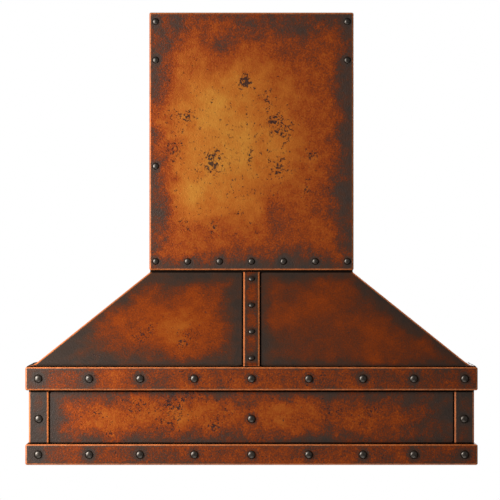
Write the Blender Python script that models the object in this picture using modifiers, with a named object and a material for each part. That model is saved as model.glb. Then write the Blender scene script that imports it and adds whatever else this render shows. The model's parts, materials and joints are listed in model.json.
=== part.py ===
"""Island range hood: a riveted copper chimney, canopy and skirt round a steel hanging frame,
with a stainless liner, baffle filters, lamps, controls and a centrifugal blower inside.

Metres. +Z is up, the front faces -Y, and the origin is the centre of the ceiling face,
so the hood hangs below it.
"""

import math

import bmesh
import bpy
from mathutils import Euler, Matrix, Vector

# ---------------------------------------------------------------- driving dimensions
WIDTH = 1.067  # across the riveted bands, side to side
DEPTH = 0.686  # across the riveted bands, front to back
CHIMNEY_WIDTH = 0.486
CHIMNEY_DEPTH = 0.326
CHIMNEY_HEIGHT = 0.613
SHADOW_GAP = 0.0045  # bare neck between the chimney's edge and the canopy's slope
CANOPY_HEIGHT = 0.2235  # from the top of the slope to the upper band
UPPER_BAND_HEIGHT = 0.055
APRON_HEIGHT = 0.127  # the part of the apron that shows between the bands
LOWER_BAND_HEIGHT = 0.049

GAP = 0.0003  # between pieces that touch
COPPER = 0.0013  # copper sheet
STRAP = 0.003  # straps folded from copper sheet
STEEL = 0.003  # angles and flat bars of the hanging frame
STAINLESS = 0.0012  # liner, plenum and blower sheet
FILTER_SHEET = 0.001

# ---------------------------------------------------------------- heights
CEILING_Z = 0.0
CHIMNEY_BOTTOM_Z = CEILING_Z - CHIMNEY_HEIGHT
SLOPE_TOP_Z = CHIMNEY_BOTTOM_Z - SHADOW_GAP
UPPER_BAND_TOP_Z = SLOPE_TOP_Z - CANOPY_HEIGHT
APRON_TOP_Z = UPPER_BAND_TOP_Z - UPPER_BAND_HEIGHT
LOWER_BAND_TOP_Z = APRON_TOP_Z - APRON_HEIGHT
RIM_Z = LOWER_BAND_TOP_Z - LOWER_BAND_HEIGHT

# ---------------------------------------------------------------- plan, as half sizes (x, y)
BAND_OUT = Vector((WIDTH / 2, DEPTH / 2))
BAND_STANDS_PROUD = 0.0083  # of the corner straps
CORNER_STRAP_OUT = BAND_OUT - Vector((BAND_STANDS_PROUD,) * 2)
APRON_OUT = CORNER_STRAP_OUT - Vector((STRAP + GAP,) * 2)
APRON_IN = APRON_OUT - Vector((COPPER,) * 2)
CHIMNEY_OUT = Vector((CHIMNEY_WIDTH / 2, CHIMNEY_DEPTH / 2))
NECK_OUT = CHIMNEY_OUT - Vector((0.002,) * 2)
POST_OUT = NECK_OUT - Vector((0.005,) * 2)
POST_IN = POST_OUT - Vector((STEEL,) * 2)

# ---------------------------------------------------------------- canopy
NECK_RISE = 0.025  # neck inside the chimney
SLOPE_FOOT_INSET = 0.0144  # where the slope alone would meet the band, in from its edge
FLARE_HEIGHT = 0.0095
FLARE_INSET = 0.0035
SEAM_STRAP_WIDTH = 0.038

# ---------------------------------------------------------------- corner and band details
BAND_CORNER = 0.004
CORNER_STRAP_LEG = 0.046
STRAP_BEND = 0.0032
CHIMNEY_CORNER = 0.0025
APRON_TUCK = 0.002  # the aprons stop this far short of the bands' outer edges
SEAM_STRAP_CLEARANCE = 0.002  # below the top of the slope

# ---------------------------------------------------------------- rivets
BAND_RIVET = 0.0088  # head radius
SMALL_RIVET = 0.0072
RIVET_RISE = 0.62  # height of a head over its radius
RIVET_SEAT = 0.0008  # how far a head is let into its sheet
RIVET_SIDES, RIVET_RINGS = 6, 4
BAND_RIVETS_X = (0.135, 0.263, 0.383, 0.503)  # from the centre, each way
CHIMNEY_RIVET_INSET = 0.015
CHIMNEY_ROW_RISE = 0.021  # of the bottom row above the edge
CHIMNEY_ROW_SPACES = 3  # each way from the row's middle rivet
CHIMNEY_RIVET_DROPS = (0.0215, 0.113, 0.3655)  # down from the ceiling
STRAP_RIVET_SHARES = (0.079, 0.3577, 0.6364, 0.9151)  # down the slope
APRON_RIVET_DROP = 0.004  # below the middle of the apron

# ---------------------------------------------------------------- hanging frame
PLATE_THICK = 0.004
PLATE_INSET = 0.005
DUCT_HOLE = 0.108
BOLT_INSET, BOLT_RADIUS = 0.035, 0.0055
POST_LEG = 0.030
POST_FOOT_RISE = 0.006  # above the plenum's roof
RING_LEG = 0.025
RING_HEIGHT = 0.030
RAIL_HEIGHT = 0.025
RAIL_WIDTH = 0.030
BRACE_Z, BRACE_HALF = -0.300, 0.015
CANOPY_RING_DROP = 0.004  # below the top of the upper band

# ---------------------------------------------------------------- liner
FLANGE_Z = RIM_Z + 0.0024
FLANGE_INSET = 0.002  # in from the aprons
PAN_WALL = Vector((0.488, 0.298))
PAN_Z = RIM_Z + 0.050  # underside of the pan's plate
OPENING = Vector((0.462, 0.205))
PLENUM_OUT = Vector((0.470, 0.220))
PLENUM_FLANGE = 0.011
PLENUM_ROOF_Z = -0.876
BLOWER_OPENING_LIP = 0.010
DRILL_REACH = 0.010  # how far a drill runs past a sheet

# ---------------------------------------------------------------- filters
FILTER_COUNT = 3
FILTER_GAP = 0.00225
FILTER_HEIGHT = 0.016
FILTER_RIM = 0.014
FILTER_DEPTH = 2 * OPENING.y - 0.004
FILTER_WIDTH = (2 * OPENING.x - (FILTER_COUNT + 1) * FILTER_GAP) / FILTER_COUNT
BAFFLE_PITCH = 0.044
BAFFLE_WIDTH = 0.030
BAFFLE_DEPTH = 0.008
BAFFLES_BELOW = 6
TAB_REACH, TAB_WIDTH, TAB_OFFSET = 0.009, 0.020, 0.100
HANDLE_WIRE, HANDLE_SPAN, HANDLE_DROP, HANDLE_BEND = 0.0025, 0.090, 0.024, 0.010

# ---------------------------------------------------------------- lamps, controls, grease tray
STRIP_Y = 0.258  # middle of the plain strips in front of and behind the filters
LAMP_X = 0.410
LAMP_HOLE, LAMP_TUBE, LAMP_BEZEL = 0.022, 0.0215, 0.032
LAMP_HEIGHT, LAMP_WALL = 0.030, 0.0012
BEZEL_THICK, BEZEL_EDGE, BEZEL_CHAMFER = 0.003, 0.001, 0.002
LENS_RADIUS, LENS_THICK = 0.0185, 0.002
PANEL_HALF, PANEL_THICK, PANEL_CORNER = Vector((0.085, 0.024)), 0.002, 0.006
MODULE_HALF, MODULE_HEIGHT = Vector((0.075, 0.020)), 0.028
KNOB_X = 0.045
KNOB_RADIUS, KNOB_HEIGHT, KNOB_SHAFT = 0.015, 0.020, 0.003
KNOB_NOSE_HALF, KNOB_NOSE_REACH = 0.004, 0.018
SHAFT_CLEARANCE, SHAFT_RISE = 0.001, 0.012
TRAY_LENGTH, TRAY_WIDTH, TRAY_HEIGHT, TRAY_LIP = 0.240, 0.050, 0.020, 0.005
TRAY_DROP = 0.003  # of the tray's lips below the pan
RUNNER_CLEARANCE = 0.002  # round the tray's lips

# ---------------------------------------------------------------- blower
BOX_ROOF_Z = -0.6238
BOX_OUTLET = 0.098
WHEEL_X, WHEEL_Z = -0.090, -0.735
WHEEL_RADIUS, WHEEL_BORE, WHEEL_HALF = 0.093, 0.078, 0.070
WHEEL_RING, WHEEL_DISC = 0.004, 0.002
HUB_RADIUS, HUB_FRONT, HUB_REAR = 0.012, -0.004, 0.014
BLADE_COUNT, BLADE_THICK, BLADE_TILT = 18, 0.0016, math.radians(25)
BLADE_EDGE = 0.0015  # how far the blades stop short of the rings' edges
SCROLL_START, SCROLL_END, SCROLL_HALF, SCROLL_STEPS = 0.104, 0.150, 0.078, 30
TONGUE_ANGLE = math.radians(60)
OUTLET_HALF = 0.060
INLET_RADIUS = 0.075
MOTOR_RADIUS, MOTOR_FRONT, MOTOR_BELL = 0.042, -0.008, 0.010
MOTOR_BOSS, MOTOR_BOSS_RISE, MOTOR_EDGE = 0.018, 0.004, 0.004
MOTOR_SHAFT, SHAFT_GAP, SHAFT_DEPTH, SOCKET_DEPTH = 0.005, 0.0006, 0.020, 0.022
BRACKET_RADIUS, BRACKET_THICK = 0.088, 0.002
WINDOW_OUT, WINDOW_IN = 0.074, 0.046
ARM_COUNT, ARM_HALF = 3, math.radians(11)

# ---------------------------------------------------------------- duct and damper
DUCT_IN, DUCT_WALL = 0.1015, 0.001
COLLAR_OUT, COLLAR_WALL, COLLAR_TOP_Z, COLLAR_FLANGE = 0.1012, 0.0012, -0.560, 0.120
DUCT_LAP = 0.015  # how far the duct reaches down over the collar
STOP_DROP, STOP_THICK, STOP_WIDTH = 0.0012, 0.0015, 0.006
BAR_HALF = Vector((0.0035, 0.006))
FLAP_Z, FLAP_RADIUS, FLAP_HINGE_X, FLAP_HALF = -0.592, 0.097, 0.006, 0.0006
KNUCKLE_RADIUS, KNUCKLE_INSET = 0.0022, 0.006

# ---------------------------------------------------------------- junction box
JUNCTION_LOW = Vector((0.135, -0.050))
JUNCTION_SIZE = Vector((0.075, 0.100, 0.045))
JUNCTION_OVERLAP = 0.001

# Corners of a rectangle, anticlockwise.
CORNERS = ((1, 1), (-1, 1), (-1, -1), (1, -1))
ROUND_STEPS = 32
SMALL_STEPS = 16
WELD = 1e-6


# ================================================================ scene and materials
def clear_scene():
    for obj in list(bpy.data.objects):
        bpy.data.objects.remove(obj)


def collection(name):
    made = bpy.data.collections.new(name)
    bpy.context.scene.collection.children.link(made)
    return made


def metal(name, colour, roughness, metallic=1.0):
    made = bpy.data.materials.new(name)
    made.use_nodes = True
    shader = made.node_tree.nodes["Principled BSDF"]
    shader.inputs["Base Color"].default_value = (*colour, 1.0)
    shader.inputs["Roughness"].default_value = roughness
    shader.inputs["Metallic"].default_value = metallic
    return made


clear_scene()
PARTS = collection("island_range_hood")
CUTTERS = collection("cutters")
COPPER_SKIN = metal("patina_copper", (0.36, 0.11, 0.035), 0.5)
FRAME_STEEL = metal("black_frame_steel", (0.05, 0.05, 0.052), 0.55, 0.6)
BRUSHED = metal("brushed_stainless", (0.55, 0.55, 0.56), 0.3)
GALVANISED = metal("galvanised_sheet", (0.5, 0.52, 0.54), 0.45)
MOTOR_PAINT = metal("motor_grey", (0.12, 0.12, 0.13), 0.5, 0.3)
KNOB_BRONZE = metal("dark_bronze", (0.09, 0.06, 0.045), 0.4, 0.9)
LENS_GLASS = metal("frosted_glass", (0.9, 0.9, 0.86), 0.35, 0.0)


def place(name, data, material, where=None):
    """Makes a named object from curve or mesh data."""
    data.name = name
    if material:
        data.materials.append(material)
    obj = bpy.data.objects.new(name, data)
    (where or PARTS).objects.link(obj)
    return obj


# ================================================================ outlines
def rectangle(half, inset=0.0):
    """Corners of a rectangle about the origin, given its half sizes."""
    return [(sx * (half[0] - inset), sy * (half[1] - inset)) for sx, sy in CORNERS]


def circle(radius, steps=ROUND_STEPS, centre=(0, 0)):
    turns = (2 * math.pi * k / steps for k in range(steps))
    return [(centre[0] + radius * math.cos(a), centre[1] + radius * math.sin(a)) for a in turns]


def corner_arc(before, corner, after, radius, steps):
    """Points of the arc that rounds one corner of a path."""
    arriving = (corner - before).normalized()
    leaving = (after - corner).normalized()
    turn = arriving.angle_signed(leaving)
    start = corner - arriving * radius * math.tan(abs(turn) / 2)
    side = math.copysign(1.0, turn)
    # angle_signed is positive clockwise, so the arc's centre then lies on the right.
    centre = start + Vector((arriving.y, -arriving.x)) * side * radius
    spoke = start - centre
    points = []
    for k in range(steps + 1):
        swing = -turn * k / steps
        points.append(centre + Matrix.Rotation(swing, 2) @ spoke)
    return points


def rounded(path, radius, steps=3, closed=False):
    """A path with its corners rounded."""
    points = [Vector(p) for p in path]
    made = []
    for k, corner in enumerate(points):
        if not closed and k in (0, len(points) - 1):
            made.append(corner)
            continue
        after = points[(k + 1) % len(points)]
        made.extend(corner_arc(points[k - 1], corner, after, radius, steps))
    return made


def offset(path, distance, closed=False):
    """A path moved to its left by a distance, with mitred corners."""
    points = [Vector(p) for p in path]
    made = []
    for k, point in enumerate(points):
        before = points[k - 1] if closed or k else None
        after = points[(k + 1) % len(points)] if closed or k < len(points) - 1 else None
        arriving = (point - before).normalized() if before else (after - point).normalized()
        leaving = (after - point).normalized() if after else arriving
        left = (Vector((-arriving.y, arriving.x)) + Vector((-leaving.y, leaving.x))).normalized()
        made.append(point + left * distance / left.dot(Vector((-leaving.y, leaving.x))))
    return made


def bent_sheet(path, thickness, radius=0.0, start=0.0):
    """Closed outline of a sheet that follows a path and thickens to its left."""
    line = rounded(path, radius) if radius else [Vector(p) for p in path]
    return offset(line, start) + offset(line, start + thickness)[::-1]


# ================================================================ solids
def prism(name, material, axis, low, high, outline, holes=(), where=None):
    """An outline with any holes, extruded along an axis. The outline lies in XY, XZ or YZ."""
    curve = bpy.data.curves.new(name, "CURVE")
    curve.dimensions = "2D"
    curve.fill_mode = "BOTH"
    curve.extrude = (high - low) / 2
    for loop in (outline, *holes):
        spline = curve.splines.new("POLY")
        spline.points.add(len(loop) - 1)
        for point, (u, v) in zip(spline.points, loop):
            point.co = (u, v, 0, 1)
        spline.use_cyclic_u = True
    obj = place(name, curve, material, where)
    quarter = math.pi / 2
    turns = {"Z": (0, 0, 0), "Y": (quarter, 0, 0), "X": (quarter, 0, quarter)}
    obj.rotation_euler = turns[axis]
    obj.location["XYZ".index(axis)] = (low + high) / 2
    return obj


def box(name, material, low, high, where=None):
    mesh = bpy.data.meshes.new(name)
    shape = bmesh.new()
    size = Vector(high) - Vector(low)
    middle = (Vector(high) + Vector(low)) / 2
    bmesh.ops.create_cube(shape, size=1, matrix=Matrix.LocRotScale(middle, None, size))
    shape.to_mesh(mesh)
    shape.free()
    return place(name, mesh, material, where)


def turned(name, material, profile, closed=True, steps=ROUND_STEPS, where=None):
    """A profile of (radius, height) turned about Z. It runs down the outer side."""
    mesh = bpy.data.meshes.new(name)
    links = [(k, k + 1) for k in range(len(profile) - 1)]
    if closed:
        links.append((len(profile) - 1, 0))
    mesh.from_pydata([(r, 0, z) for r, z in profile], links, [])
    obj = place(name, mesh, material, where)
    screw = obj.modifiers.new("turn", "SCREW")
    screw.angle = 2 * math.pi
    screw.steps = screw.render_steps = steps
    screw.use_merge_vertices = True
    screw.merge_threshold = 1e-5
    return obj


def rectangle_loft(name, material, sections, thickness, side, keep=0):
    """A sheet through rectangles (half_x, half_y, z), thickened to the left (1) or right (-1) of
    the path that its section draws. keep leaves only the half at -X (-1) or +X (1)."""
    mesh = bpy.data.meshes.new(name)
    shape = bmesh.new()
    ring = [shape.verts.new((sx, sy, 0)) for sx, sy in CORNERS]
    edges = [shape.edges.new((ring[k - 1], ring[k])) for k in range(4)]
    for count, (half_x, half_y, z) in enumerate(sections):
        if count:
            grown = bmesh.ops.extrude_edge_only(shape, edges=edges)["geom"]
            ring = [item for item in grown if isinstance(item, bmesh.types.BMVert)]
            edges = [
                item
                for item in grown
                if isinstance(item, bmesh.types.BMEdge) and set(item.verts) <= set(ring)
            ]
        for vertex in ring:
            vertex.co = (
                math.copysign(half_x, vertex.co.x),
                math.copysign(half_y, vertex.co.y),
                z,
            )
    shape.normal_update()
    shape.faces.ensure_lookup_table()
    first = shape.faces[0]
    run = Vector(sections[1]) - Vector(sections[0])
    middle = first.calc_center_median()
    across = 0 if abs(middle.x) > abs(middle.y) else 1
    left = -run.z * math.copysign(1.0, middle[across]) * first.normal[across]
    left += run[across] * first.normal.z
    if left < 0:
        bmesh.ops.reverse_faces(shape, faces=shape.faces)
    if keep:
        bmesh.ops.bisect_plane(
            shape,
            geom=[*shape.verts, *shape.edges, *shape.faces],
            plane_co=(keep * GAP / 2, 0, 0),
            plane_no=(-keep, 0, 0),
            clear_outer=True,
        )
    shape.to_mesh(mesh)
    shape.free()
    obj = place(name, mesh, material)
    solid = obj.modifiers.new("sheet", "SOLIDIFY")
    solid.solidify_mode = "NON_MANIFOLD"
    solid.nonmanifold_thickness_mode = "CONSTRAINTS"
    solid.thickness = thickness
    solid.offset = side
    return obj


def helpers_of(obj):
    """The hidden shapes that an object is cut by or joined to."""
    return [modifier.object for modifier in obj.modifiers if modifier.type == "BOOLEAN"]


def as_mesh(obj):
    """The object made a mesh, with its modifiers applied, so that it can be cut or joined."""
    bpy.context.view_layer.update()
    graph = bpy.context.evaluated_depsgraph_get()
    mesh = bpy.data.meshes.new_from_object(obj.evaluated_get(graph))
    shape = bmesh.new()
    shape.from_mesh(mesh)
    bmesh.ops.remove_doubles(shape, verts=shape.verts, dist=WELD)
    bmesh.ops.recalc_face_normals(shape, faces=shape.faces)
    shape.to_mesh(mesh)
    shape.free()
    name, matrix, homes = obj.name, obj.matrix_world.copy(), list(obj.users_collection)
    for helper in helpers_of(obj):
        bpy.data.objects.remove(helper)
    bpy.data.objects.remove(obj)
    made = place(name, mesh, None, homes[0])
    made.matrix_world = matrix
    return made


def combine(obj, tools, operation):
    """Adds a Boolean for each tool, which becomes a hidden helper."""
    target = as_mesh(obj)
    for tool in tools:
        helper = as_mesh(tool)
        helper.hide_render = True
        helper.display_type = "WIRE"
        modifier = target.modifiers.new(operation.lower(), "BOOLEAN")
        modifier.operation = operation
        modifier.object = helper
    return target


def cut(obj, *tools):
    return combine(obj, tools, "DIFFERENCE")


def join(obj, *tools):
    return combine(obj, tools, "UNION")


def on_axis(name, point, *pieces):
    """Hangs pieces and their helpers from an empty that lies on their joint's axis."""
    pivot = bpy.data.objects.new(name, None)
    PARTS.objects.link(pivot)
    pivot.location = point
    bpy.context.view_layer.update()
    for piece in pieces:
        for item in (piece, *helpers_of(piece)):
            item.parent = pivot
            item.matrix_parent_inverse = pivot.matrix_world.inverted()
    return pivot


def several(name, shapes):
    """One helper mesh made of many separate closed shapes."""
    merged = bmesh.new()
    for shape in shapes:
        shape = as_mesh(shape)
        merged_mesh = shape.data
        merged_mesh.transform(shape.matrix_world)
        merged.from_mesh(merged_mesh)
        bpy.data.objects.remove(shape)
    mesh = bpy.data.meshes.new(name)
    merged.to_mesh(mesh)
    merged.free()
    return place(name, mesh, None, CUTTERS)


def rod(name, radius, axis, low, high, centre, steps=ROUND_STEPS, material=None, where=None):
    """A round bar or, as a helper, a drill, along an axis."""
    return prism(name, material, axis, low, high, circle(radius, steps, centre), where=where)


def channel_ring(name, material, out, width, low, high, wall, top=True, bottom=True, corner=0.0):
    """A rectangular ring folded from sheet: an outer wall with inward returns at its top and
    bottom, open to the inside."""
    outline, hole = rectangle(out), rectangle(out, width)
    if corner:
        outline = rounded(outline, corner, closed=True)
    ring = prism(name, material, "Z", low, high, outline, [hole])
    groove_low = low + wall if bottom else low - wall
    groove_high = high - wall if top else high + wall
    groove = prism(
        name + "_groove",
        None,
        "Z",
        groove_low,
        groove_high,
        rectangle(out, wall),
        [rectangle(out, 2 * width)],
        CUTTERS,
    )
    return cut(ring, groove)


# ================================================================ rivets
def rivet_heads(name, radius, seats):
    """One helper mesh of domed heads, each seated at (point, outward direction)."""
    head = bmesh.new()
    rise = Matrix.Scale(RIVET_RISE, 4, (0, 0, 1))
    bmesh.ops.create_uvsphere(
        head, u_segments=RIVET_SIDES, v_segments=RIVET_RINGS, radius=radius, matrix=rise
    )
    made = bmesh.ops.bisect_plane(
        head,
        geom=[*head.verts, *head.edges, *head.faces],
        plane_co=(0, 0, -RIVET_SEAT),
        plane_no=(0, 0, -1),
        clear_outer=True,
    )
    rim = [item for item in made["geom_cut"] if isinstance(item, bmesh.types.BMEdge)]
    bmesh.ops.edgeloop_fill(head, edges=rim)
    bmesh.ops.recalc_face_normals(head, faces=head.faces)
    pattern = bpy.data.meshes.new(name + "_head")
    head.to_mesh(pattern)
    head.free()
    merged = bmesh.new()
    for point, direction in seats:
        turn = Vector(direction).to_track_quat("Z", "Y")
        head_mesh = pattern.copy()
        head_mesh.transform(Matrix.LocRotScale(Vector(point), turn, None))
        merged.from_mesh(head_mesh)
        bpy.data.meshes.remove(head_mesh)
    bpy.data.meshes.remove(pattern)
    mesh = bpy.data.meshes.new(name)
    merged.to_mesh(mesh)
    merged.free()
    return place(name, mesh, None, CUTTERS)


def band_rivet_seats(z):
    """Seats along a band's front and rear. Its ends have none."""
    across = [-x for x in reversed(BAND_RIVETS_X)] + [0.0, *BAND_RIVETS_X]
    return [((x, face * BAND_OUT.y, z), (0, face, 0)) for face in (-1, 1) for x in across]


def chimney_rivet_seats(face):
    """Seats on one chimney cover. face is -1 at the front. The front's right edge has no third
    rivet, so its left and right edges differ."""
    row_z = CHIMNEY_BOTTOM_Z + CHIMNEY_ROW_RISE
    row_end = CHIMNEY_OUT.x - CHIMNEY_RIVET_INSET
    seats = []
    for k in range(-CHIMNEY_ROW_SPACES, CHIMNEY_ROW_SPACES + 1):
        x = row_end * k / CHIMNEY_ROW_SPACES
        seats.append(((x, face * CHIMNEY_OUT.y, row_z), (0, face, 0)))
    for side in (-1, 1):
        drops = CHIMNEY_RIVET_DROPS[:2] if (face, side) == (-1, 1) else CHIMNEY_RIVET_DROPS
        for drop in drops:
            seats.append(((side * row_end, face * CHIMNEY_OUT.y, -drop), (0, face, 0)))
    return seats


# ================================================================ copper shell
def make_chimney():
    for name, face in (("chimney_front_cover", -1), ("chimney_rear_cover", 1)):
        x, y = CHIMNEY_OUT
        path = [(x * face, face * GAP / 2), (x * face, y * face), (-x * face, y * face)]
        path.append((-x * face, face * GAP / 2))
        outline = bent_sheet(path, COPPER, CHIMNEY_CORNER)
        cover = prism(name, COPPER_SKIN, "Z", CHIMNEY_BOTTOM_Z, CEILING_Z, outline)
        join(cover, rivet_heads(name + "_rivets", SMALL_RIVET, chimney_rivet_seats(face)))


def canopy_sections():
    """Outer rectangles of the canopy, from the top of its neck to the edge of its flare."""
    foot = BAND_OUT - Vector((SLOPE_FOOT_INSET,) * 2)
    share = (CANOPY_HEIGHT - FLARE_HEIGHT) / CANOPY_HEIGHT
    flare_top = NECK_OUT.lerp(foot, share)
    flare_foot = BAND_OUT - Vector((FLARE_INSET,) * 2)
    return [
        (*NECK_OUT, CHIMNEY_BOTTOM_Z + NECK_RISE),
        (*NECK_OUT, SLOPE_TOP_Z),
        (*flare_top, UPPER_BAND_TOP_Z + FLARE_HEIGHT),
        (*flare_foot, UPPER_BAND_TOP_Z + COPPER + GAP),
    ]


def make_canopy():
    for name, side in (("canopy_left_skin", -1), ("canopy_right_skin", 1)):
        rectangle_loft(name, COPPER_SKIN, canopy_sections(), COPPER, side=-1, keep=side)


def make_seam_straps():
    """The straps that cover the seams between the canopy's halves, front and rear."""
    slope = [Vector((-section[1], section[2])) for section in canopy_sections()[1:]]
    top = slope[0].copy()
    foot = Vector((SLOPE_FOOT_INSET - BAND_OUT.y, UPPER_BAND_TOP_Z))
    slope[0] += (slope[1] - top).normalized() * SEAM_STRAP_CLEARANCE
    run = slope[1] - slope[0]
    outward = Vector((run.y, -run.x)).normalized()
    strap_half = SEAM_STRAP_WIDTH / 2
    for name, face in (("seam_strap_front", -1), ("seam_strap_rear", 1)):
        outline = bent_sheet(slope, -STRAP, start=-GAP)
        if face > 0:
            outline = [(-y, z) for y, z in outline]
        strap = prism(name, COPPER_SKIN, "X", -strap_half, strap_half, outline)
        seats = []
        for share in STRAP_RIVET_SHARES:
            y, z = top.lerp(foot, share) + outward * (STRAP + GAP)
            seats.append(((0, -y * face, z), (0, -outward.x * face, outward.y)))
        join(strap, rivet_heads(name + "_rivets", SMALL_RIVET, seats))


def make_bands():
    width = BAND_OUT.x - APRON_OUT.x - GAP
    bands = (
        ("upper_band", UPPER_BAND_TOP_Z, UPPER_BAND_HEIGHT),
        ("lower_band", LOWER_BAND_TOP_Z, LOWER_BAND_HEIGHT),
    )
    for name, top, height in bands:
        low = top - height
        band = channel_ring(
            name, COPPER_SKIN, BAND_OUT, width, low, top, COPPER, corner=BAND_CORNER
        )
        seats = band_rivet_seats(top - height / 2)
        join(band, rivet_heads(name + "_rivets", BAND_RIVET, seats))


def make_aprons():
    """Four flat panels, which run behind both bands. The corner straps cover their seams."""
    low, high = RIM_Z + APRON_TUCK, UPPER_BAND_TOP_Z - APRON_TUCK
    rivet_z = (APRON_TOP_Z + LOWER_BAND_TOP_Z) / 2 - APRON_RIVET_DROP
    for name, face in (("apron_front", -1), ("apron_rear", 1)):
        near, far = sorted((face * APRON_IN.y, face * APRON_OUT.y))
        panel = box(name, COPPER_SKIN, (-APRON_OUT.x, near, low), (APRON_OUT.x, far, high))
        seat = ((0, face * APRON_OUT.y, rivet_z), (0, face, 0))
        join(panel, rivet_heads(name + "_rivet", BAND_RIVET, [seat]))
    for name, side in (("apron_left", -1), ("apron_right", 1)):
        near, far = sorted((side * APRON_IN.x, side * APRON_OUT.x))
        half = APRON_IN.y - GAP
        box(name, COPPER_SKIN, (near, -half, low), (far, half, high))


def make_corner_straps():
    low, high = LOWER_BAND_TOP_Z + GAP, APRON_TOP_Z - GAP
    rivet_z = (low + high) / 2 - APRON_RIVET_DROP
    x, y = CORNER_STRAP_OUT
    for face, end in ((-1, "front"), (1, "rear")):
        for side, hand in ((-1, "left"), (1, "right")):
            name = f"corner_strap_{end}_{hand}"
            path = [
                (side * (x - CORNER_STRAP_LEG), face * y),
                (side * x, face * y),
                (side * x, face * (y - CORNER_STRAP_LEG)),
            ]
            outline = bent_sheet(path, -side * face * STRAP, STRAP_BEND)
            strap = prism(name, COPPER_SKIN, "Z", low, high, outline)
            seat = ((side * (x - CORNER_STRAP_LEG / 2), face * y, rivet_z), (0, face, 0))
            join(strap, rivet_heads(name + "_rivet", BAND_RIVET, [seat]))


# ================================================================ hanging frame
def make_ceiling_plate():
    half = CHIMNEY_OUT - Vector((PLATE_INSET,) * 2)
    bolts = [circle(BOLT_RADIUS, SMALL_STEPS, spot) for spot in rectangle(half, BOLT_INSET)]
    holes = [circle(DUCT_HOLE), *bolts]
    prism("ceiling_plate", FRAME_STEEL, "Z", -PLATE_THICK, CEILING_Z, rectangle(half), holes)


def make_posts():
    x, y = POST_OUT
    top = CEILING_Z - PLATE_THICK - GAP
    foot = PLENUM_ROOF_Z + POST_FOOT_RISE
    for face, end in ((-1, "front"), (1, "rear")):
        for side, hand in ((-1, "left"), (1, "right")):
            path = [
                (side * (x - POST_LEG), face * y),
                (side * x, face * y),
                (side * x, face * (y - POST_LEG)),
            ]
            outline = bent_sheet(path, -side * face * STEEL)
            prism(f"hanger_post_{end}_{hand}", FRAME_STEEL, "Z", foot, top, outline)
    half = POST_IN - Vector((GAP,) * 2)
    prism(
        "hanger_brace",
        FRAME_STEEL,
        "Z",
        BRACE_Z - BRACE_HALF,
        BRACE_Z + BRACE_HALF,
        rectangle(half),
        [rectangle(half, STEEL)],
    )


def make_rings_and_rails():
    out = APRON_IN - Vector((GAP,) * 2)
    ring_top = UPPER_BAND_TOP_Z - CANOPY_RING_DROP
    ring_low = ring_top - RING_HEIGHT
    channel_ring(
        "canopy_ring", FRAME_STEEL, out, RING_LEG, ring_low, ring_top, STEEL, top=False
    )
    skirt_low = FLANGE_Z + STAINLESS + GAP
    channel_ring(
        "skirt_ring",
        FRAME_STEEL,
        out,
        RING_LEG,
        skirt_low,
        skirt_low + RING_HEIGHT,
        STEEL,
        top=False,
    )
    rail_low = ring_low + STEEL + GAP
    rail_end = out.y - STEEL - GAP
    for name, side in (("carrier_rail_left", -1), ("carrier_rail_right", 1)):
        near = side * (POST_OUT.x + GAP)
        far = near + side * RAIL_WIDTH
        path = [(far, rail_low), (near, rail_low), (near, rail_low + RAIL_HEIGHT)]
        path.append((far, rail_low + RAIL_HEIGHT))
        outline = bent_sheet(path, -side * STEEL)
        prism(name, FRAME_STEEL, "Y", -rail_end, rail_end, outline)


# ================================================================ liner
def make_pan():
    """The pan that closes the hood's underside: a flange under the skirt ring, a wall, and a
    plate with the filters' opening."""
    edge = APRON_IN - Vector((FLANGE_INSET,) * 2)
    sections = [
        (*edge, FLANGE_Z),
        (*PAN_WALL, FLANGE_Z),
        (*PAN_WALL, PAN_Z),
        (*OPENING, PAN_Z),
    ]
    pan = rectangle_loft("liner_pan", BRUSHED, sections, STAINLESS, side=-1)
    holes = [(LAMP_HOLE, (sx * LAMP_X, sy * STRIP_Y)) for sx, sy in CORNERS]
    holes += [
        (KNOB_SHAFT + SHAFT_CLEARANCE, (side * KNOB_X, -STRIP_Y)) for side in (-1, 1)
    ]
    low, high = PAN_Z - DRILL_REACH, PAN_Z + DRILL_REACH
    drills = [
        rod(f"pan_hole_{k}", radius, "Z", low, high, centre, SMALL_STEPS)
        for k, (radius, centre) in enumerate(holes)
    ]
    cut(pan, several("pan_holes", drills))


def make_plenum():
    """The box over the filters, with a roof that opens into the blower box."""
    foot = PAN_Z + STAINLESS + GAP
    mouth = POST_IN - Vector((GAP + STAINLESS + BLOWER_OPENING_LIP,) * 2)
    sections = [
        (*(PLENUM_OUT + Vector((PLENUM_FLANGE,) * 2)), foot),
        (*PLENUM_OUT, foot),
        (*PLENUM_OUT, PLENUM_ROOF_Z),
        (*mouth, PLENUM_ROOF_Z),
    ]
    rectangle_loft("plenum", GALVANISED, sections, STAINLESS, side=-1)


# ================================================================ filters
FILTER_LOW = PAN_Z + GAP


def baffle_outline(x, base, rise):
    """A U of sheet, open upwards for a positive rise."""
    half = BAFFLE_WIDTH / 2
    path = [(x - half, base + rise), (x - half, base), (x + half, base), (x + half, base + rise)]
    return bent_sheet(path, math.copysign(FILTER_SHEET, rise))


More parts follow.
